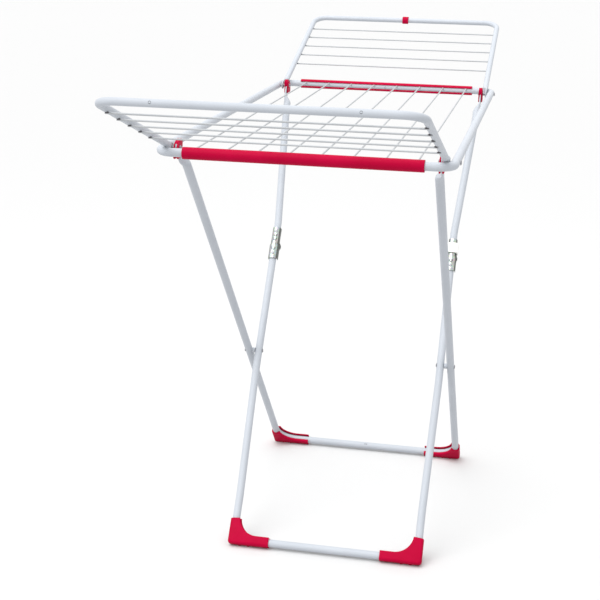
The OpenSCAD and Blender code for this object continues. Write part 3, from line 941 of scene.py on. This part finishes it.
@dataclass
class Wing:
    """One fold-over wing: a U of tube, five wires under it and its small parts."""

    side: int
    label: str
    wires: int = 5
    first: float = 145.0
    pitch: float = 56.0
    drop: float = 7.5
    over: float = 1.0
    hole_spread: float = 320.0
    clip_half: float = 8.0
    bend: float = 35.0
    plate_w: float = 18.2
    plate_shift: float = 3.25
    plate_end: float = 13.0
    arm_start: float = 34.0
    bead_inset: float = 2.8
    bead_rise: float = 0.7
    bead_half: tuple[float, float, float] = (3.2, 1.2, 1.4)
    bead_spread: float = 1.7

    def build(self) -> None:
        """Builds the tube, the wires with their weld beads, and the holes or the clip."""
        place = wing_place(self.side)
        body = f"{self.label}_wing"
        arm = flat_end_path(SIZES.wing_x, SIZES.wing_x + self.plate_shift, self.plate_w, self.plate_end,
                            self.arm_start, SIZES.wing_r)
        tube = u_tube(arm, SIZES.wing_x, SIZES.wing_l, self.bend, SIZES.wing_r)
        make_piece(f"{self.label}_wing_frame", [tube], place, [POWDER], body, [f"{body}_tube"])
        make_piece(f"{self.label}_wing_lines", self._lines(), place, [LINE_WIRE, BARE_STEEL_AND_SHADE], body,
                   [f"{body}_wires"])
        make_piece(f"{self.label}_wing_welds", self._welds(), place, [DARK_WELD_AND_SHADE], body, [])
        if self.side < 0:
            holes = [drilled_hole(s * self.hole_spread / 2.0, SIZES.wing_l + SIZES.wing_r, 0.0,
                                  Vector((0.0, 1.0, 0.0))) for s in (-1, 1)]
            make_piece("near_wing_holes", holes, place, [BARE_STEEL_AND_SHADE], body, [])
        else:
            make_piece("wing_clip_shell", self._clip(), place, [CRIMSON], body, ["wing_clip"])

    def _lines(self) -> list[Shell]:
        """Straight wires with bare cut ends just past the arms."""
        reach = SIZES.wing_x + self.over
        shells = []
        for k in range(self.wires):
            y = self.first + k * self.pitch
            shells.append(wire(-reach, reach, y, -self.drop, SIZES.wire_r))
            shells += wire_ends(-reach, reach, y, -self.drop, SIZES.wire_r)
        return shells

    def _welds(self) -> list[Shell]:
        """A small dark bead on both sides of each wire where it meets an arm's inner side; its dark colour is
        partly burnt bare weld and partly painted shade where the wire passes under the arm.
        """
        x, z = SIZES.wing_x - self.bead_inset, self.bead_rise - self.drop
        places = [self.first + k * self.pitch + dy
                  for k in range(self.wires) for dy in (-self.bead_spread, self.bead_spread)]
        return both_sides([bead(x, y, z, *self.bead_half) for y in places])

    def _clip(self) -> list[Shell]:
        """A short C clip on the outer bar, open downwards, with a raised band."""
        outline = c_outline(6.6, 9.9, 4.4, 0.25)
        turned = np.stack([outline[:, 1] + SIZES.wing_l, -outline[:, 0]], axis=1)
        return [rounded_prism(turned, -self.clip_half, self.clip_half, 0.7)]


@dataclass
class Cap:
    """A red fork cap over the flattened top of a leg."""

    centre_x: float = SIZES.leg_flat_x
    half: float = 4.5
    slot_half: float = 1.7
    radius: float = 16.0
    lean: float = 0.55
    drop: float = 19.5
    low_r: float = 6.0
    slot_r: float = 12.5
    web_end: float = 2.4
    taper: float = 0.35

    def shells(self, angle: float) -> list[Shell]:
        """Two cheeks and the web that joins them.

        A cheek's top is the half circle of `radius` sheared by `lean` times its height towards
        the leg; below the pivot it is square with round corners. The web fills the slot from
        the leg's upper edge over the top to `web_end`, outside the circle of slot_r. Above the
        pivot the outer faces close in by `taper` at the top.

        Args:
            angle: Slope of the leg below level, in radians.

        Returns:
            Shells of the right cap.
        """
        t = np.linspace(0.0, math.pi, 32)
        top = self.radius * np.stack([np.cos(t) + self.lean * np.sin(t), np.sin(t)], axis=1)
        r = self.low_r
        q = np.linspace(0.0, math.pi / 2.0, 9)
        low = np.stack([-self.radius + r - r * np.cos(q), -self.drop + r - r * np.sin(q)], axis=1)
        outline = np.concatenate([top, low, low[::-1] * np.array([-1.0, 1.0])])
        x0, x1 = self.centre_x - self.half, self.centre_x + self.half
        cheeks = [rounded_prism(outline, x0, self.centre_x - self.slot_half, 0.9),
                  rounded_prism(outline, self.centre_x + self.slot_half, x1, 0.9)]
        boss = lathe_x([(x0 + 0.5, 0.0), (x0 + 0.5, 7.4), (x0 - 0.02, 7.0), (x0 - 0.02, 0.0)], 0.0, 0.0)
        parts = [*cheeks, self._web(top, angle)]
        for part in parts:
            off = part.verts[:, 0] - self.centre_x
            rise = np.clip(part.verts[:, 2] / self.radius, 0.0, 1.0)
            skin = np.maximum(np.abs(off) - self.slot_half, 0.0) * (1.0 - self.taper * rise * rise)
            part.verts[:, 0] = self.centre_x + np.sign(off) * (np.minimum(np.abs(off), self.slot_half) + skin)
        return [*parts, boss]

    def _web(self, top: np.ndarray, angle: float) -> Shell:
        """The web between the cheeks.

        Args:
            top: Outline of the cheek's top from the leg's side to the other.
            angle: Slope of the leg below level, in radians.

        Returns:
            The shell, bounded outside by the outline inset 0.5 mm and inside by the slot's
            edge: a line slot_r above the leg's axis, then the circle of slot_r.
        """
        up = np.array([math.sin(angle), math.cos(angle)])
        down = np.array([math.cos(angle), -math.sin(angle)])
        side = self.radius - 0.5
        corner = self.slot_r * up + down * (side - self.slot_r * up[0]) / down[0]
        level = math.pi / 2.0 - angle
        theta = np.linspace(level, self.web_end, 24)
        inner = self.slot_r * np.stack([np.cos(theta), np.sin(theta)], axis=1)
        outer = top[: int(len(top) * self.web_end / math.pi)] * (1.0 - 0.5 / self.radius)
        strip = np.concatenate([corner[None, :], outer, inner[::-1]])
        return rounded_prism(strip, self.centre_x - self.slot_half - 0.4,
                             self.centre_x + self.slot_half + 0.4, 0.1)


@dataclass
class FootCover:
    """A red C-section cover over a corner of a floor bar."""

    half: float = 11.0
    bore: float = 8.6
    bar_l: float = 93.0
    leg_l: float = 58.0
    corner_r: float = 7.0
    edge_r: float = 7.0
    slot_low: float = 4.0
    slot_high: float = 8.0

    def section(self) -> tuple[np.ndarray, np.ndarray]:
        """The C section and how much each point follows the outer corner.

        Returns:
            Points (m, 2) across the bar (positive outwards) and along local Z, and weights
            (m,) of 1 on the outer wall and 0 elsewhere.
        """
        h, r = self.half, self.edge_r
        q = np.linspace(0.0, math.pi / 2.0, 8)
        upper = np.stack([h - r + r * np.sin(q), h - r + r * np.cos(q)], axis=1)
        lower = upper[::-1] * np.array([1.0, -1.0])
        a_low = math.pi + math.asin(self.slot_low / self.bore)
        a_high = 2.0 * math.pi + math.pi - math.asin(self.slot_high / self.bore)
        t = np.linspace(a_low, a_high, 40)
        bore = self.bore * np.stack([np.cos(t), np.sin(t)], axis=1)
        points = [(-h + 1.6, h, 0), (-h + 3.0, h, 0), (-4.0, h, 0)]
        first = np.array(points, float)
        tip_low = np.array([(-4.0, -h, 0), (-h + 2.6, -h, 0), (-h + 0.8, -h + 0.9, 0), (-h, -h + 2.6, 0),
                            (-h, -self.slot_low - 1.2, 0), (-h + 0.4, -self.slot_low - 0.4, 0),
                            (-h + 1.2, -self.slot_low, 0)], float)
        tip_high = np.array([(-6.0, self.slot_high, 0), (-h + 1.2, self.slot_high, 0),
                             (-h + 0.3, self.slot_high + 0.5, 0), (-h, self.slot_high + 1.3, 0),
                             (-h + 0.4, h - 0.6, 0)], float)
        outer = np.concatenate([upper, lower])
        pts = np.concatenate([first[:, :2], outer, tip_low[:, :2], bore, tip_high[:, :2]])
        weight = np.concatenate([np.zeros(len(first)), np.ones(len(outer)), np.zeros(len(tip_low)),
                                 np.zeros(len(bore)), np.zeros(len(tip_high))])
        return pts, weight

    def shells(self, x: float, y: float) -> list[Shell]:
        """The right cover: the C section carried round the tube's bend.

        The outer wall runs on to a squarish corner: at each place on the bend its distance
        is that from the tube's axis to a rounded L line h outside the axis lines.

        Args:
            x: Sideways place of the leg's axis.
            y: Distance of the floor bar's axis down the leg.

        Returns:
            One shell.
        """
        bend, h, rc = SIZES.leg_bend, self.half, self.corner_r
        phi0 = math.asin((bend - (self.leg_l - h)) / bend)
        q = np.linspace(0.0, math.pi / 2.0, 5)
        edge = 1.2
        roll_in, roll = edge * (1.0 - np.cos(q)), edge * (1.0 - np.sin(q))
        phi = np.concatenate([phi0 + roll_in / bend, np.linspace(phi0 + 0.05, math.pi / 2.0, 44)])
        centre = np.array([x - bend, y - bend])
        unit = np.stack([np.cos(phi), np.sin(phi)], axis=1)
        on_bend = centre + bend * unit
        reach_x = (x + h - on_bend[:, 0]) / np.maximum(unit[:, 0], 1e-6)
        reach_y = (y + h - on_bend[:, 1]) / np.maximum(unit[:, 1], 1e-6)
        reach = np.minimum(reach_x, reach_y)
        hit = on_bend + reach[:, None] * unit
        core = np.array([x + h - rc, y + h - rc])
        rel = on_bend - core
        along = np.sum(rel * unit, axis=1)
        root = along**2 - np.sum(rel * rel, axis=1) + rc**2
        on_round = -along + np.sqrt(np.maximum(root, 0.0))
        reach = np.where((hit > core).all(axis=1) & (root > 0.0), on_round, reach)
        bar_end = x + h - self.bar_l
        bar = np.concatenate([np.linspace(x - bend, bar_end + edge, 8)[1:], (bar_end + roll_in)[::-1][1:]])
        centres = np.concatenate([on_bend, np.stack([bar, np.full(len(bar), y)], axis=1)])
        normals = np.concatenate([unit, np.tile([0.0, 1.0], (len(bar), 1))])
        reach = np.concatenate([reach, np.full(len(bar), h)])
        depth = np.zeros(len(centres))
        depth[: len(roll)] = roll
        depth[-len(roll):] = roll[::-1]
        section, weight = self.section()
        rings = np.empty((len(centres), len(section), 3))
        for row in range(len(centres)):
            flat = section.copy()
            flat[:, 0] += weight * (reach[row] - h)
            flat = inset_outline(flat, float(depth[row]))
            rings[row, :, :2] = centres[row] + flat[:, :1] * normals[row]
            rings[row, :, 2] = flat[:, 1]
        return [ring_shell(rings)]

    def nubs(self, x: float) -> list[Shell]:
        """Two round stubs under the right cover, from the floor up."""
        profile = [(0.0, 0.0), (0.0, 3.4), (0.25, 3.8), (0.7, 4.0), (6.0, 4.0), (6.0, 0.0)]
        return [lathe_z(profile, x - 14.0 - 20.0 * k, 0.0) for k in (0, 1)]


def build_foot_covers(prefix: str, place: Place, x: float, length: float, floor_y: float, body: str) -> None:
    """Builds a right and a left foot cover with the stubs under them.

    Args:
        prefix: Start of the CAD node names.
        place: Frame of the leg pair.
        x: Sideways place of the leg's axis at the floor.
        length: Distance of the floor bar down the leg.
        floor_y: Row Y of the floor bar.
        body: CAD body.
    """
    cover = FootCover()
    for side in ("right", "left"):
        shells, nubs = on_side(cover.shells(x, length), side), on_side(cover.nubs(x), side)
        make_piece(f"{prefix}_cover_{side}", shells, place, [CRIMSON], body, [f"{prefix}_foot_{side}"], 50.0)
        make_piece(f"{prefix}_stubs_{side}", nubs, upright_place(floor_y, 0.0), [CRIMSON], body, [])


CROSS_HEAD_R = 4.75
CROSS_HEAD_RISE = 1.9


def leg_top() -> tuple[np.ndarray, np.ndarray, np.ndarray]:
    """Centre line and half sizes of a leg's flattened top on the right side."""
    return flat_end_path(SIZES.outer_leg_x, SIZES.leg_flat_x, SIZES.leg_flat_w, SIZES.leg_flat_end,
                         SIZES.leg_start, SIZES.leg_r)


@dataclass
class NearLegs:
    """The outer leg pair: a U of tube with flat tops, caps, crossing rivets and feet."""

    joint_x: float = 222.0
    spacer_end: float = 228.8
    spacer_r: float = 6.0
    hole_r: float = 2.0
    hole_stretch: float = 1.9

    def build(self) -> None:
        """Builds every piece that folds with the near legs."""
        body = "near_legs"
        place = leg_place(-1, SIZES.near_angle)
        x = SIZES.outer_leg_x
        tube = u_tube(leg_top(), x, SIZES.near_len, SIZES.leg_bend, SIZES.leg_r)
        make_piece("near_leg_frame", [tube], place, [POWDER], body, ["near_leg_tube"])
        hole = drilled_hole(0.0, SIZES.near_len - SIZES.leg_r, 0.0, Vector((0.0, -1.0, 0.0)), self.hole_r,
                            self.hole_stretch)
        make_piece("near_leg_hole", [hole], place, [BARE_STEEL_AND_SHADE], body, [])
        cap = Cap().shells(SIZES.near_angle)
        spot = upright_place(-SIZES.pivot_y, SIZES.height)
        for side in ("right", "left"):
            make_piece(f"near_cap_{side}", on_side(cap, side), spot, [CRIMSON], body,
                       [f"near_leg_cap_{side}"])
        rivet = headed_pin(self.joint_x, x + SIZES.leg_r + 0.1, SIZES.shank_r, CROSS_HEAD_R, CROSS_HEAD_RISE,
                           SIZES.near_cross, 0.0, (False, True))
        make_piece("crossing_rivet_pair", both_sides([rivet]), place, [RIVET], body, ["crossing_rivets"])
        x0, x1, r, edge = self.joint_x, self.spacer_end, self.spacer_r, 0.4
        ring = [(x0, 0.0), (x0, r - edge), (x0 + edge, r), (x1 - 1.4, r), (x1, r - edge), (x1, 0.0)]
        spacer = lathe_x(ring, SIZES.near_cross, 0.0)
        make_piece("crossing_spacer_pair", both_sides([spacer]), place, [POWDER], body,
                   ["crossing_spacers"])
        build_foot_covers("near_leg", place, x, SIZES.near_len, SIZES.near_foot_y, body)


@dataclass
class HingeBracket:
    """One half of a pressed zinc leg hinge: a channel over the tube with two ears."""

    inner: float
    y0: float
    y1: float
    thick: float = 1.3
    cheek: float = 6.0
    ear_r: float = 6.5
    dimples: tuple[float, ...] = ()
    dimple_rise: float = 0.8
    dimple_l: float = 4.5
    dimple_turn: float = 0.4
    mark_r: float = 0.55
    mark_half: float = 3.6
    mark_bow: float = 2.6

    def shells(self, elbow: float) -> list[Shell]:
        """The channel and its ears about the leg's axis at inner_leg_x.

        The channel's wall is a half round over the tube with straight cheeks; each dimple
        lifts it by dimple_rise exp(-(d / dimple_l)^2 - (a / dimple_turn)^2) at distance d along
        and angle a around from its centre.

        Args:
            elbow: Distance of the pin down the leg.

        Returns:
            Shells of the right hinge.
        """
        t = np.linspace(0.0, math.pi, 33)
        arc = np.stack([np.cos(t), np.sin(t)], axis=1)
        y = np.linspace(self.y0, self.y1, 40)
        lift = np.zeros((len(y), len(t)))
        for spot in self.dimples:
            lift += self._lift(y[:, None] - spot, t[None, :] - math.pi / 2.0)
        inner, outer = self.inner, self.inner + self.thick
        out = arc * (outer + lift)[..., None]
        inn = (arc * (inner + lift)[..., None])[:, ::-1]
        rims = {x: np.broadcast_to((x, -self.cheek), (len(y), 1, 2)) for x in (outer, -outer, inner, -inner)}
        loop = np.concatenate([rims[outer], out, rims[-outer], rims[-inner], inn, rims[inner]], axis=1)
        along = np.broadcast_to(y[:, None], loop.shape[:2])
        rings = np.stack([SIZES.inner_leg_x + loop[..., 0], along, loop[..., 1]], axis=-1)
        # Faces out on the cheeks take finish 1, the darker zinc that paints shade and dark reflections on the
        # sides.
        sides = np.abs(np.append(rings[0, 1:, 0], rings[0, 0, 0]) - SIZES.inner_leg_x) > 0.72 * outer
        shells = [ring_shell(rings, finish=np.tile(sides.astype(int), len(y) - 1))]
        a = np.linspace(0.0, math.pi, 20)
        toward = 1.0 if self.y0 > elbow else -1.0
        low = np.stack([-self.ear_r * np.cos(a) * toward, -SIZES.pin_offset - self.ear_r * np.sin(a)], axis=1)
        base = np.array([(toward * (self.ear_r + 5.0), -self.cheek + 0.3), (toward * (self.ear_r + 6.0), 2.0),
                         (toward * 2.5, 2.0), (-toward * 3.0, -1.5), (-toward * self.ear_r, -self.cheek)])
        outline = np.concatenate([low, base]) + np.array([elbow, 0.0])
        for side in (-1.0, 1.0):
            near, far = inner - 0.05, outer + 0.06
            x0, x1 = sorted((SIZES.inner_leg_x + side * near, SIZES.inner_leg_x + side * far))
            ear = rounded_prism(outline, x0, x1, 0.25)
            # The ears take the darker zinc too: painted shade on the side plates.
            ear.finish = ear.end_finish = 1
            shells.append(ear)
        return [*shells, *(self._mark(spot, outer) for spot in self.dimples)]

    def _lift(self, along: np.ndarray, around: np.ndarray) -> np.ndarray:
        """Rise of a dimple at distances along the leg and angles around it."""
        return self.dimple_rise * np.exp(-((along / self.dimple_l) ** 2) - (around / self.dimple_turn) ** 2)

    def _mark(self, spot: float, outer: float) -> Shell:
        """A fine pressed U around a dimple, open up the leg, drawn as a thin near-black bead: painted shade
        in the pressed line.

        The U lies on the web: its height at x is sqrt(outer^2 - x^2) plus the dimple's lift.

        Args:
            spot: Distance of the dimple down the leg.
            outer: Outer radius of the web.

        Returns:
            The shell.
        """
        q = np.linspace(0.0, math.pi, 15)
        half = self.mark_half
        bow = np.stack([half * np.cos(q), spot + 1.5 + self.mark_bow * np.sin(q)], axis=1)
        path = np.concatenate([[(half, spot - 2.0)], bow, [(-half, spot - 2.0)]])
        size = np.full(len(path), self.mark_r)
        mark = swept_bar(path, size, size, 8)
        x, y = mark.verts[:, 0], mark.verts[:, 1]
        mark.verts[:, 2] += np.sqrt(outer**2 - x**2) + self._lift(y - spot, np.arcsin(x / outer))
        mark.verts[:, 0] += SIZES.inner_leg_x
        # Finish 2 is the near-black one: painted shade in the pressed line.
        mark.finish = mark.end_finish = 2
        return mark


# Bracket finishes: lit zinc, the darker zinc that paints shade on the sides, and the near-black finish that
# paints shade in the pressed marks.
ZINCS = (ZINC, ZINC_PAINTED_SHADE, BARE_STEEL_AND_SHADE)
HALF_GAP = 0.5
TUBE_GAP = 4.0


def small_rivet(y: float, seat: float) -> Shell:
    """A flat-headed rivet into the upper side of the right inner leg tube.

    Args:
        y: Distance down the leg.
        seat: Height of the head's seat over the leg's axis.

    Returns:
        The shell.
    """
    profile = [(3.8, 0.0), (3.8, 1.9), (seat, 1.9), (seat, 3.5), (seat + 0.5, 3.4), (seat + 1.0, 2.6),
               (seat + 1.15, 1.4), (seat + 0.9, 0.8), (seat + 0.8, 0.0)]
    return lathe_z(profile, SIZES.inner_leg_x, y)


@dataclass
class FarLegUpper:
    """The upper parts of the inner leg pair, with caps and upper hinge brackets."""

    bracket_bore: float = 8.6
    bracket_l: float = 44.0
    dimple_spots: tuple[float, float] = (14.0, 24.0)
    rivet_spot: float = 33.0
    bend: float = 120.0
    straight: float = 12.0
    slant_end: float = 60.0

    def build(self) -> None:
        """Builds every piece that folds with the upper parts of the far legs."""
        body = "far_leg_upper"
        place = leg_place(1, SIZES.far_angle)
        tube = self._tube()
        bracket = HingeBracket(self.bracket_bore, SIZES.elbow - self.bracket_l, SIZES.elbow - HALF_GAP,
                               dimples=tuple(SIZES.elbow - d for d in self.dimple_spots))
        cap = Cap().shells(SIZES.far_angle)
        spot = upright_place(SIZES.pivot_y, SIZES.height, -1)
        hinge = bracket.shells(SIZES.elbow)
        rivet = small_rivet(SIZES.elbow - self.rivet_spot, self.bracket_bore + bracket.thick + 0.05)
        for side in ("right", "left"):
            make_piece(f"far_upper_tube_{side}", on_side([tube], side), place, [POWDER], body,
                       [f"far_leg_upper_{side}"])
            make_piece(f"far_cap_{side}", on_side(cap, side), spot, [CRIMSON], body, [f"far_leg_cap_{side}"])
            make_piece(f"upper_bracket_{side}", on_side(hinge, side), place, ZINCS, body,
                       [f"hinge_upper_{side}"])
        make_piece("upper_bracket_rivets", both_sides([rivet]), place, [RIVET], body,
                   ["upper_hinge_rivets"])

    def _tube(self) -> Shell:
        """The right upper tube: pressed flat at the pivot, slanting in, bored at the hinge."""
        centre, thick, wide = leg_top()
        x, start = SIZES.outer_leg_x, SIZES.leg_start
        corners = [(x, start), (x, start + self.straight), (SIZES.inner_leg_x, SIZES.elbow - self.slant_end),
                   (SIZES.inner_leg_x, SIZES.elbow - TUBE_GAP)]
        lower = filleted(corners, [0.0, self.bend, self.bend, 0.0], 6)[1:]
        path = np.concatenate([centre, lower])
        full = np.full(len(lower), SIZES.leg_r)
        return swept_bar(path, np.concatenate([thick, full]), np.concatenate([wide, full]),
                         bored=SIZES.tube_bore, bored_ends=(False, True))


@dataclass
class FarLegLower:
    """The lower U of the inner leg pair, with lower hinge brackets, pins and feet."""

    pin_r: float = 3.0
    pin_head: tuple[float, float] = (4.5, 1.6)
    pin_reach: float = 11.6
    bracket_bore: float = 10.2
    bracket_l: float = 36.0
    dimple_spot: float = 11.0
    rivet_spot: float = 24.0
    kink_bend: float = 150.0
    kink_below: float = 45.0
    foot_straight: float = 103.0
    cross_reach: float = 8.2

    def build(self) -> None:
        """Builds every piece that folds with the lower part of the far legs."""
        body = "far_leg_lower"
        place = leg_place(1, SIZES.far_angle)
        x, foot_x, end = SIZES.inner_leg_x, SIZES.inner_foot_x, SIZES.far_len
        top, kink, foot = SIZES.elbow + TUBE_GAP, SIZES.far_cross + self.kink_below, end - self.foot_straight
        right = [(x, top), (x, kink), (foot_x, foot), (foot_x, end)]
        corners = right + [(-a, b) for a, b in right[::-1]]
        radii = [0.0, self.kink_bend, self.kink_bend, SIZES.leg_bend]
        path = filleted(corners, radii + radii[::-1], 16)
        size = np.full(len(path), SIZES.leg_r)
        tube = swept_bar(path, size, size, bored=SIZES.tube_bore, bored_ends=(True, True))
        make_piece("far_lower_tube", [tube], place, [POWDER], body, ["far_leg_lower_tube"])
        bracket = HingeBracket(self.bracket_bore, SIZES.elbow + HALF_GAP, SIZES.elbow + self.bracket_l,
                               dimples=(SIZES.elbow + self.dimple_spot,))
        hinge = bracket.shells(SIZES.elbow)
        for side in ("right", "left"):
            make_piece(f"lower_bracket_{side}", on_side(hinge, side), place, ZINCS, body,
                       [f"hinge_lower_{side}"])
        rivet = small_rivet(SIZES.elbow + self.rivet_spot, self.bracket_bore + bracket.thick + 0.05)
        make_piece("lower_bracket_rivets", both_sides([rivet]), place, [RIVET], body,
                   ["lower_hinge_rivets"])
        pin = headed_pin(x - self.pin_reach, x + self.pin_reach, self.pin_r, *self.pin_head, SIZES.elbow,
                         -SIZES.pin_offset)
        # The pins share the darker zinc, painted shade.
        make_piece("hinge_pin_pair", both_sides([pin]), place, [ZINC_PAINTED_SHADE], body, ["hinge_pins"])
        inner = headed_pin(x - SIZES.leg_r - 0.1, x + self.cross_reach, SIZES.shank_r, CROSS_HEAD_R,
                           CROSS_HEAD_RISE, SIZES.far_cross, 0.0, (True, False))
        make_piece("crossing_inner_pair", both_sides([inner]), place, [RIVET], body,
                   ["crossing_inner_rivets"])
        build_foot_covers("far_leg", place, foot_x, end, -SIZES.far_foot_y, body)


@dataclass
class LockRing:
    """The off-white ring that slides on the right upper hinge bracket."""

    gap: float = 8.3
    length: float = 24.0
    half: float = 14.0
    inner: float = 10.3
    top: float = 14.0
    bottom: float = -10.7

    def build(self) -> None:
        """Builds the ring: a rounded box outline around a bore, its section carried round.

        At angle t the bore reaches inner, or the flat floor below, and the outside reaches a
        rounded box; the section between them is a rectangle with corners rounded by 1 mm.
        """
        t = np.linspace(0.0, 2.0 * math.pi, 96, endpoint=False)
        c, s = np.cos(t), np.sin(t)
        box = np.minimum(self.half / np.maximum(np.abs(c), 1e-6),
                         np.where(s > 0.0, self.top, -self.bottom) / np.maximum(np.abs(s), 1e-6))
        corner = np.where(s > 0.0, math.hypot(self.half, self.top), math.hypot(self.half, self.bottom)) - 2.6
        outer = np.minimum(box, corner)
        inner = np.minimum(self.inner / np.maximum(np.where(s > 0.0, 1.0, np.abs(c)), 1e-6),
                           np.where(s > 0.0, 1e3, 8.9 / np.maximum(np.abs(s), 1e-6)))
        groove = (s > 0.0) & (np.abs(c) * 11.8 < 4.0)
        inner = np.where(groove, 11.8 / np.maximum(s, 1e-6), inner)
        share = np.array([0.0, 0.0, 0.18, 0.5, 0.82, 1.0, 1.0, 1.0, 1.0, 0.82, 0.5, 0.18, 0.0])
        half = self.length / 2.0
        along = np.array([-half + 1.0, half - 1.0, half - 0.1, half, half - 0.1, half - 1.0, half - 5.0,
                          -half + 5.0, -half + 1.0, -half + 0.1, -half, -half + 0.1, -half + 1.0])[:-1]
        share = share[:-1]
        rho = inner[:, None] + (outer - inner)[:, None] * share[None, :]
        middle = SIZES.elbow - self.gap - half
        rings = np.stack([SIZES.inner_leg_x + rho * c[:, None],
                          np.broadcast_to(middle + along, rho.shape), rho * s[:, None]], axis=-1)
        make_piece("lock_ring_shell", [ring_shell(rings, loop=True)], leg_place(1, SIZES.far_angle), [IVORY],
                   "lock_ring", ["lock_ring"])


# ---------------------------------------------------------------- studio


@dataclass(frozen=True)
class Softbox:
    """An area light: where it hangs, where it looks, its size and its power."""

    name: str
    at: tuple[float, float, float]
    look: tuple[float, float, float]
    size: float
    power: float

    def hang(self) -> None:
        """Adds the light to the scene."""
        lamp = bpy.data.lights.new(self.name, "AREA")
        lamp.shape = "SQUARE"
        lamp.size = self.size
        lamp.energy = self.power
        holder = bpy.data.objects.new(self.name, lamp)
        holder.location = self.at
        aim = Vector(self.look) - Vector(self.at)
        holder.rotation_euler = aim.to_track_quat("-Z", "Y").to_euler()
        bpy.context.scene.collection.objects.link(holder)


@dataclass(frozen=True)
class Studio:
    """Pale floor, soft lights and the camera."""

    eye: tuple[float, float, float] = (0.447053, -2.725854, 1.353260)
    yaw: float = 0.199743
    pitch: float = -0.290763
    roll: float = 0.018170
    lens: float = 77.177
    floor_shade: float = 0.60
    sky: float = 1.05
    sun: float = 2.2
    sun_spread: float = 50.0

    def build(self) -> None:
        """Adds floor, world, lights and camera."""
        bpy.context.scene.view_settings.view_transform = "Standard"
        self._floor()
        self._world()
        self._sun()
        for box in (
            Softbox("key_light", (-1.6, -2.4, 2.2), (0.0, 0.0, 0.7), 1.6, 3.0),
            Softbox("top_light", (0.0, 0.2, 2.6), (0.0, 0.0, 0.6), 1.6, 12.0),
        ):
            box.hang()
        self._camera()

    def _sun(self) -> None:
        """A wide, soft light from high on the left of the camera."""
        lamp = bpy.data.lights.new("window_light", "SUN")
        lamp.energy = self.sun
        lamp.angle = math.radians(self.sun_spread)
        holder = bpy.data.objects.new("window_light", lamp)
        holder.rotation_euler = Vector((0.45, 0.50, -1.0)).to_track_quat("-Z", "Y").to_euler()
        bpy.context.scene.collection.objects.link(holder)

    def _floor(self) -> None:
        """A wide, plain pale floor."""
        mesh = bpy.data.meshes.new("floor")
        mesh.from_pydata([(-30, -30, 0), (30, -30, 0), (30, 30, 0), (-30, 30, 0)], [], [(0, 1, 2, 3)])
        floor = bpy.data.objects.new("floor", mesh)
        bpy.context.scene.collection.objects.link(floor)
        mat = bpy.data.materials.new("pale_floor")
        mat.use_nodes = True
        shader = mat.node_tree.nodes["Principled BSDF"]
        shade = self.floor_shade
        shader.inputs["Base Color"].default_value = (shade, shade, shade, 1.0)
        shader.inputs["Roughness"].default_value = 0.9
        shader.inputs["Specular IOR Level"].default_value = 0.1
        mesh.materials.append(mat)

    def _world(self) -> None:
        """An even white sky."""
        world = bpy.data.worlds.new("sky")
        world.use_nodes = True
        world.node_tree.nodes["Background"].inputs["Color"].default_value = (1.0, 1.0, 1.0, 1.0)
        world.node_tree.nodes["Background"].inputs["Strength"].default_value = self.sky
        bpy.context.scene.world = world

    def _camera(self) -> None:
        """The camera, turned by yaw about up, then pitch, then roll."""
        cy, sy = math.cos(self.yaw), math.sin(self.yaw)
        cp, sp = math.cos(self.pitch), math.sin(self.pitch)
        ahead = np.array([-sy * cp, cy * cp, sp])
        right = np.array([cy, sy, 0.0])
        up = np.cross(right, ahead)
        cr, sr = math.cos(self.roll), math.sin(self.roll)
        level, tall = cr * right + sr * up, -sr * right + cr * up
        data = bpy.data.cameras.new("camera")
        data.sensor_width = 36.0
        data.lens = self.lens
        data.clip_end = 100.0
        cam = bpy.data.objects.new("camera", data)
        turn = np.eye(4)
        turn[:3, 0], turn[:3, 1], turn[:3, 2], turn[:3, 3] = level, tall, -ahead, self.eye
        cam.matrix_world = Matrix(turn.tolist())
        bpy.context.scene.collection.objects.link(cam)
        bpy.context.scene.camera = cam


def main() -> None:
    """Builds the airer and its studio, and logs each piece."""
    logging.basicConfig(level=logging.INFO, format="%(message)s")
    Studio().build()
    TopFrame().build()
    Wing(-1, "near").build()
    Wing(1, "far").build()
    NearLegs().build()
    FarLegUpper().build()
    FarLegLower().build()
    LockRing().build()


if __name__ == "__main__":
    main()
